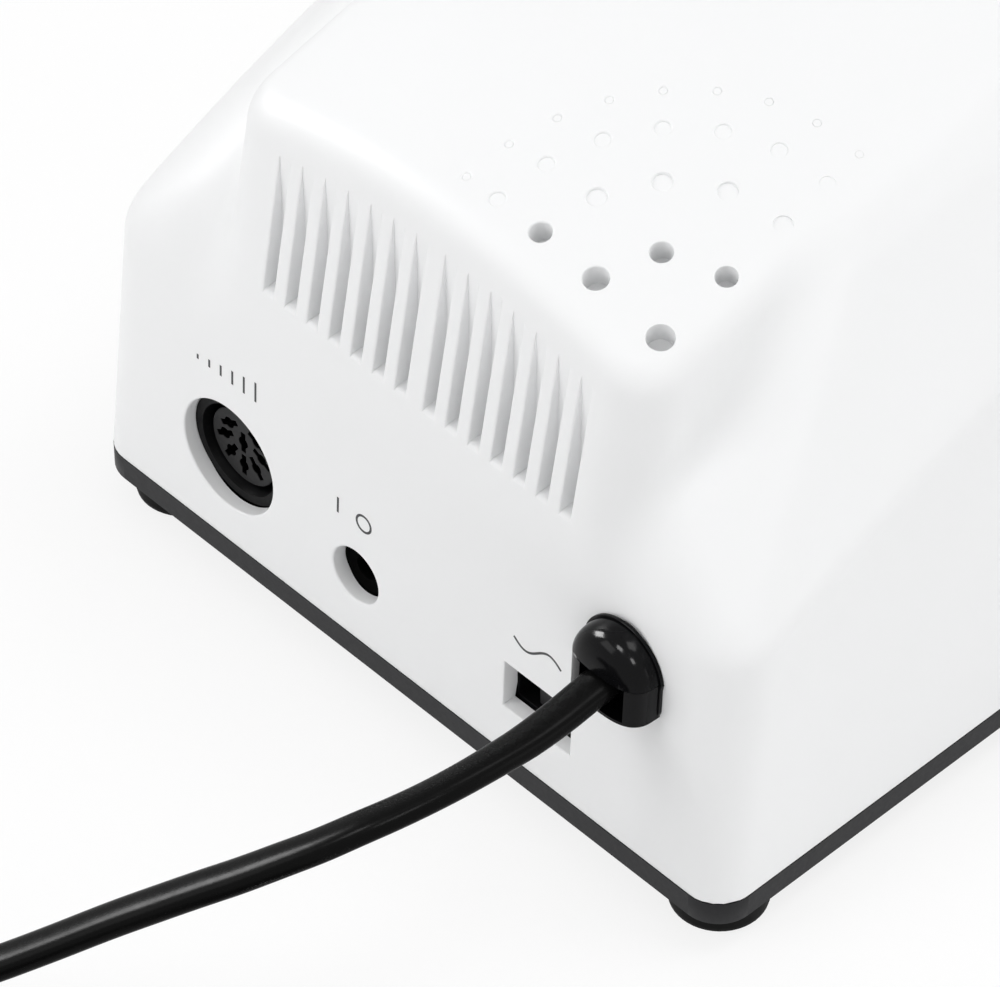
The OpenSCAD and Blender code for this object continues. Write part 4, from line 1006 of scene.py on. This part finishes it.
def stroke(line, width, low, high, place):
    """A printed line: a thin flat ribbon along a path, set in place by a function of (across, out, up)."""
    p = np.asarray(line, float)
    ahead = unit(np.gradient(p, axis=0))
    side = np.stack([-ahead[:, 1], ahead[:, 0]], -1) * width / 2
    edges = [(p - side, high), (p + side, high), (p + side, low), (p - side, low)]
    rings = np.stack([np.stack([e[:, 0], np.full(len(e), h), e[:, 1]], -1) for e, h in edges], 1)
    points, faces = capped(rings)
    return place(points), faces


def on_wall(p):
    """Points of across, out and up laid on the rear wall."""
    return np.stack([p[:, 0], p[:, 1] - DRAFT * p[:, 2], p[:, 2]], -1)


def rear_marks():
    """Plain signs over the rear fittings: rising bars, a bar and a ring, a wave."""
    bar_x = [38.0 - 2.2 * i for i in range(6)]
    bars = [[(x, 28.2), (x, 29.0 + 0.5 * i)] for i, x in enumerate(bar_x)]
    turn = np.linspace(0, 2 * np.pi, 41)
    circle = np.stack([6.6 + 1.3 * np.cos(turn), 21.2 + 1.3 * np.sin(turn)], -1)
    wave = np.stack([-25.0 + 4.2 * (turn / np.pi - 1), 21.6 + 1.1 * np.sin(turn)], -1)
    signs = [*bars, [(11.4, 19.9), (11.4, 22.5)], circle, wave]
    parts = [stroke(line, width=0.36, low=-0.05, high=0.02, place=on_wall) for line in signs]
    return settle(mesh_object("rear_marks", *joined(*parts)), "mark_grey", "case")


rear_marks()


# Controls and feet


def knob():
    """Speed knob: a skirt and a grip, rows of (radius, height, share of flute), turned; and its line."""
    skirt = [(3.0, 3.2, 0), (8.0, 3.2, 0), (8.0, 0.0, 0), (17.6, 0.0, 0), (18.0, 0.4, 0), (18.0, 2.3, 0),
             (17.85, 2.7, 0), (17.4, 2.95, 0), (16.8, 3.0, 0), (15.0, 3.05, 0), (14.65, 3.2, 0)]
    grip = [(GRIP_R, 3.5, 0), (GRIP_R, 4.1, 1), (GRIP_R, 13.0, 1), (14.5, 13.4, 1), (14.2, 13.75, 0.8),
            (13.8, 13.95, 0.4), (13.3, 14.0, 0)]
    top = [(12.6, 13.95, 0), (11.8, 13.8, 0), (4.0, 13.7, 0), (0.3, 13.7, 0)]
    rows = np.array([*skirt, *grip, *top])
    a = np.linspace(0, 2 * np.pi, FLUTES * FLUTE_STEPS, endpoint=False)
    step = 2 * np.pi / FLUTES
    off = np.mod(a, step) - step / 2
    reach = GRIP_R + FLUTE_OUT
    bite = np.sqrt(np.maximum(FLUTE_R**2 - (reach * np.sin(off)) ** 2, 0))
    depth = np.where(bite > 0, np.maximum(GRIP_R - reach * np.cos(off) + bite, 0), 0)
    r = rows[:, :1] - rows[:, 2:] * depth
    spokes = np.cos(a)[:, None] * PANEL_U + np.sin(a)[:, None] * PANEL_V
    rings = on_panel(*KNOB, KNOB_LIFT) + r[:, :, None] * spokes + rows[:, 1, None, None] * PANEL_N
    settle(mesh_object("knob", *capped(rings)), "knob_black", "knob", "speed_knob")
    way = np.array([math.cos(KNOB_ZERO), -math.sin(KNOB_ZERO)])

    def on_knob(p):
        return on_panel(*KNOB, KNOB_LIFT) + p @ np.stack([PANEL_U, PANEL_N, -PANEL_V])

    line = stroke([way * 5.0, way * 9.0, way * 12.6], width=1.1, low=13.5, high=13.92, place=on_knob)
    settle(mesh_object("knob_line", *line), "shell_white", "knob")


def rocker(name, slot):
    """Rocker key: its dished outline carried across with eased ends, on a pin, tilted to one end."""
    y = np.linspace(KEY_REACH, -KEY_REACH, 25)
    dish = np.stack([y, KEY_TOP + KEY_DISH * (y / KEY_REACH) ** 2], -1)
    loop = np.concatenate([[(KEY_REACH, 0.4)], dish, [(-KEY_REACH, 0.4), (-2.0, -3.4), (2.0, -3.4)]])
    middle = np.array([0.0, 1.0])
    stations = ((-4.95, 0.94), (-4.6, 1.0), (4.6, 1.0), (4.95, 0.94))
    key = [np.insert(middle + k * (loop - middle), 0, u, axis=1) for u, k in stations]
    pin = turned([(0.7, -5.9), (1.0, -5.6), (1.0, 5.6), (0.7, 5.9)], (0, 0, 0), (1, 0, 0), 24, (0, 1, 0))
    points, faces = joined(capped(np.stack(key)), pin)
    s, c = math.sin(ROCKER_TILT), math.cos(ROCKER_TILT)
    axes = np.stack([PANEL_U, c * PANEL_V - s * PANEL_N, s * PANEL_V + c * PANEL_N])
    pivot = on_panel(ROCKER_U, ROCKER_V[name], ROCKER_PIVOT)
    made = mesh_object(name + "_key", pivot + points @ axes, faces)
    settle(made, slot, name + "_key", name + "_rocker")


def button():
    """Push button: a stem and a cap with a rounded rim and a shallow dish."""
    stem = [(1.7, -12.6), (2.0, -12.3), (2.0, -4.8)]
    cap = [(4.7, -4.8), (5.0, -4.5), (5.0, 2.1), (4.88, 2.45), (4.6, 2.75), (4.2, 2.95)]
    dish = [(3.8, 2.98), (3.2, 2.85), (1.8, 2.55), (0.2, 2.5)]
    made = mesh_object("button_cap", *turned([*stem, *cap, *dish], on_panel(*BUTTON), PANEL_N, 64))
    settle(made, "button_grey", "button", "mode_button")


def feet():
    """Four rubber feet: rounded rims, a recess below for the screw's head and a hole for the screw."""
    rim = [(4.0, 0.0), (5.7, 0.0), (6.1, 0.1), (6.45, 0.5), (6.6, 1.2), (6.6, 5.0)]
    inner = [(1.8, 5.0), (1.8, 3.0), (3.4, 3.0), (3.4, 0.4), (3.6, 0.1)]
    places = [(sx * FOOT[0], y, FLOOR_Z) for sx in (-1, 1) for y in (-FOOT[1], FOOT[1] - CASE_D)]
    made = mesh_object("rubber_feet", *joined(*[ring([*rim, *inner], at, (0, 0, 1)) for at in places]))
    settle(made, "rubber_black", "case", "feet")


def plug():
    """Mains plug: ovals along its length, rows of (along, half width, half height), and its two pins."""
    sleeve = [(0.0, 5.1, 3.6), (0.4, 5.5, 4.0), (3.5, 5.5, 4.0), (4.2, 6.6, 4.2), (4.7, 10.4, 4.8)]
    ribs = [(5.2, 11.0, 5.0), (5.5, 11.0, 5.0), (5.6, 9.7, 4.7), (6.4, 9.7, 4.7), (6.5, 11.0, 5.0),
            (8.1, 11.0, 5.0), (8.2, 9.7, 4.7), (9.0, 9.7, 4.7), (9.1, 11.0, 5.0)]
    grip = [(9.6, 11.7, 5.1), (10.1, 14.5, 5.9), (10.7, 16.8, 6.5), (11.9, 17.8, 6.7), (33.5, 17.8, 6.7),
            (35.1, 17.4, 6.4), (35.8, 16.6, 5.8), (36.0, 15.8, 5.2)]
    rows = np.array([*sleeve, *ribs, *grip])
    u, v = oval(72, PLUG_POWER)
    y = np.broadcast_to(-rows[:, :1], (len(rows), len(u)))
    rings = PLUG + np.stack([rows[:, 1:2] * u, y, rows[:, 2:] * v], -1)
    body = settle(mesh_object("plug", *capped(rings)), "cord_black", "case", "plug_body")
    profile = [(1.7, 0.0), (2.0, 0.3), (2.0, 25.4), (1.85, 26.1), (1.5, 26.7), (1.0, 27.0)]
    roots = [PLUG + (sx * PLUG_PIN_X, -PLUG_PIN_ROOT, 0) for sx in (-1, 1)]
    pins = [turned(profile, root, (0, -1, 0), 32) for root in roots]
    return body, settle(mesh_object("pins", *joined(*pins)), "plug_metal", "case", "plug_pins")


knob()
rocker("power", "rocker_red")
rocker("direction", "rocker_black")
button()
feet()
plug_pieces = plug()


# Carried-over nodes: one skin, softened edges, a finish by slot

SOFT_EDGE = {"base_plate": 0.4, "handpiece_nut": 0.3, "handpiece_socket": 0.3}
USUAL_EDGE = 0.15
OWN_FINISH = {"jack_body": "jack_black"}


def dress(node, slot):
    """Welds a node's loose triangles, rounds its edges and gives it its finish."""
    obj = frame["nodes"][node]
    weld = obj.modifiers.new("weld", "WELD")
    weld.merge_threshold = 1e-6
    bevel = obj.modifiers.new("edges", "BEVEL")
    bevel.width = SOFT_EDGE.get(node, USUAL_EDGE) * MM
    bevel.segments = 2
    bevel.limit_method = "ANGLE"
    bevel.angle_limit = math.radians(40)
    bevel.harden_normals = False
    obj.data.materials.clear()
    obj.data.materials.append(FINISH[OWN_FINISH.get(node, slot)])


for part in frame["record"]["subparts"]:
    if not frame["nodes"][part["node"]].hide_render:
        dress(part["node"], part["material_slot"])


# Floor and light


def by_ray(tree, seen, lit):
    """Mix of two shaders: seen for camera, mirror and glass rays, lit for the light that falls about."""
    path = tree.nodes.new("ShaderNodeLightPath")
    most = path.outputs["Is Camera Ray"]
    for name in ("Is Glossy Ray", "Is Transmission Ray"):
        step = tree.nodes.new("ShaderNodeMath")
        step.operation = "MAXIMUM"
        tree.links.new(most, step.inputs[0])
        tree.links.new(path.outputs[name], step.inputs[1])
        most = step.outputs[0]
    mix = tree.nodes.new("ShaderNodeMixShader")
    tree.links.new(most, mix.inputs[0])
    tree.links.new(lit, mix.inputs[1])
    tree.links.new(seen, mix.inputs[2])
    return mix.outputs[0]


def surroundings():
    """White backdrop, with plainer light from it on the object."""
    world = bpy.data.worlds.new("studio")
    world.use_nodes = True
    tree = world.node_tree
    tree.nodes.clear()
    white = tree.nodes.new("ShaderNodeBackground")
    white.inputs["Color"].default_value = (1, 1, 1, 1)
    fill = tree.nodes.new("ShaderNodeBackground")
    fill.inputs["Color"].default_value = (1, 1, 1, 1)
    fill.inputs["Strength"].default_value = 0.72
    out = tree.nodes.new("ShaderNodeOutputWorld")
    tree.links.new(by_ray(tree, white.outputs[0], fill.outputs[0]), out.inputs["Surface"])
    bpy.context.scene.world = world


def floor():
    """Pale floor under the feet, bright to the camera but still taking the object's shadow."""
    half = 3.0
    corners = [(-half, -half, 0), (half, -half, 0), (half, half, 0), (-half, half, 0)]
    data = bpy.data.meshes.new("floor")
    data.from_pydata(corners, [], [(0, 1, 2, 3)])
    obj = bpy.data.objects.new("floor", data)
    bpy.context.scene.collection.objects.link(obj)
    made, tree, shader = new_material("floor_white")
    shader.inputs["Base Color"].default_value = (0.92, 0.92, 0.92, 1)
    shader.inputs["Roughness"].default_value = 0.9
    shader.inputs["Specular IOR Level"].default_value = 0.0
    glow = tree.nodes.new("ShaderNodeEmission")
    soft = tree.nodes.new("ShaderNodeMixShader")
    soft.inputs[0].default_value = 0.82
    tree.links.new(shader.outputs[0], soft.inputs[1])
    tree.links.new(glow.outputs[0], soft.inputs[2])
    out = tree.nodes["Material Output"]
    tree.links.new(by_ray(tree, soft.outputs[0], shader.outputs[0]), out.inputs["Surface"])
    data.materials.append(made)


def studio_lamp(name, way, far, size, watts, shine_only=False):
    """Square soft lamp that looks at the case from a direction, far metres off; some only give shine."""
    aim = Vector((0.0, 0.05, 0.05))
    data = bpy.data.lights.new(name, "AREA")
    data.size = size
    data.energy = watts
    obj = bpy.data.objects.new(name, data)
    bpy.context.scene.collection.objects.link(obj)
    toward = Vector(way).normalized()
    obj.location = aim + far * toward
    obj.rotation_mode = "QUATERNION"
    obj.rotation_quaternion = (-toward).to_track_quat("-Z", "Y")
    obj.visible_diffuse = not shine_only


surroundings()
floor()
studio_lamp("overhead", (-0.26, -0.34, 0.9), far=1.5, size=0.5, watts=5.2)
studio_lamp("side", (-0.88, -0.49, 0.08), far=1.2, size=0.6, watts=1.75)
studio_lamp("rear", (0.34, 0.74, 0.58), far=1.2, size=0.6, watts=3.3)
studio_lamp("left_glint", (0.8, 0.25, 0.53), far=1.2, size=0.45, watts=30.0, shine_only=True)
studio_lamp("top_glint", (-0.07, 0.38, 0.92), far=1.2, size=0.3, watts=7.0, shine_only=True)
studio_lamp("right_glint", (-0.67, 0.2, 0.71), far=1.2, size=0.25, watts=4.0, shine_only=True)

bpy.context.scene.view_settings.view_transform = "Standard"
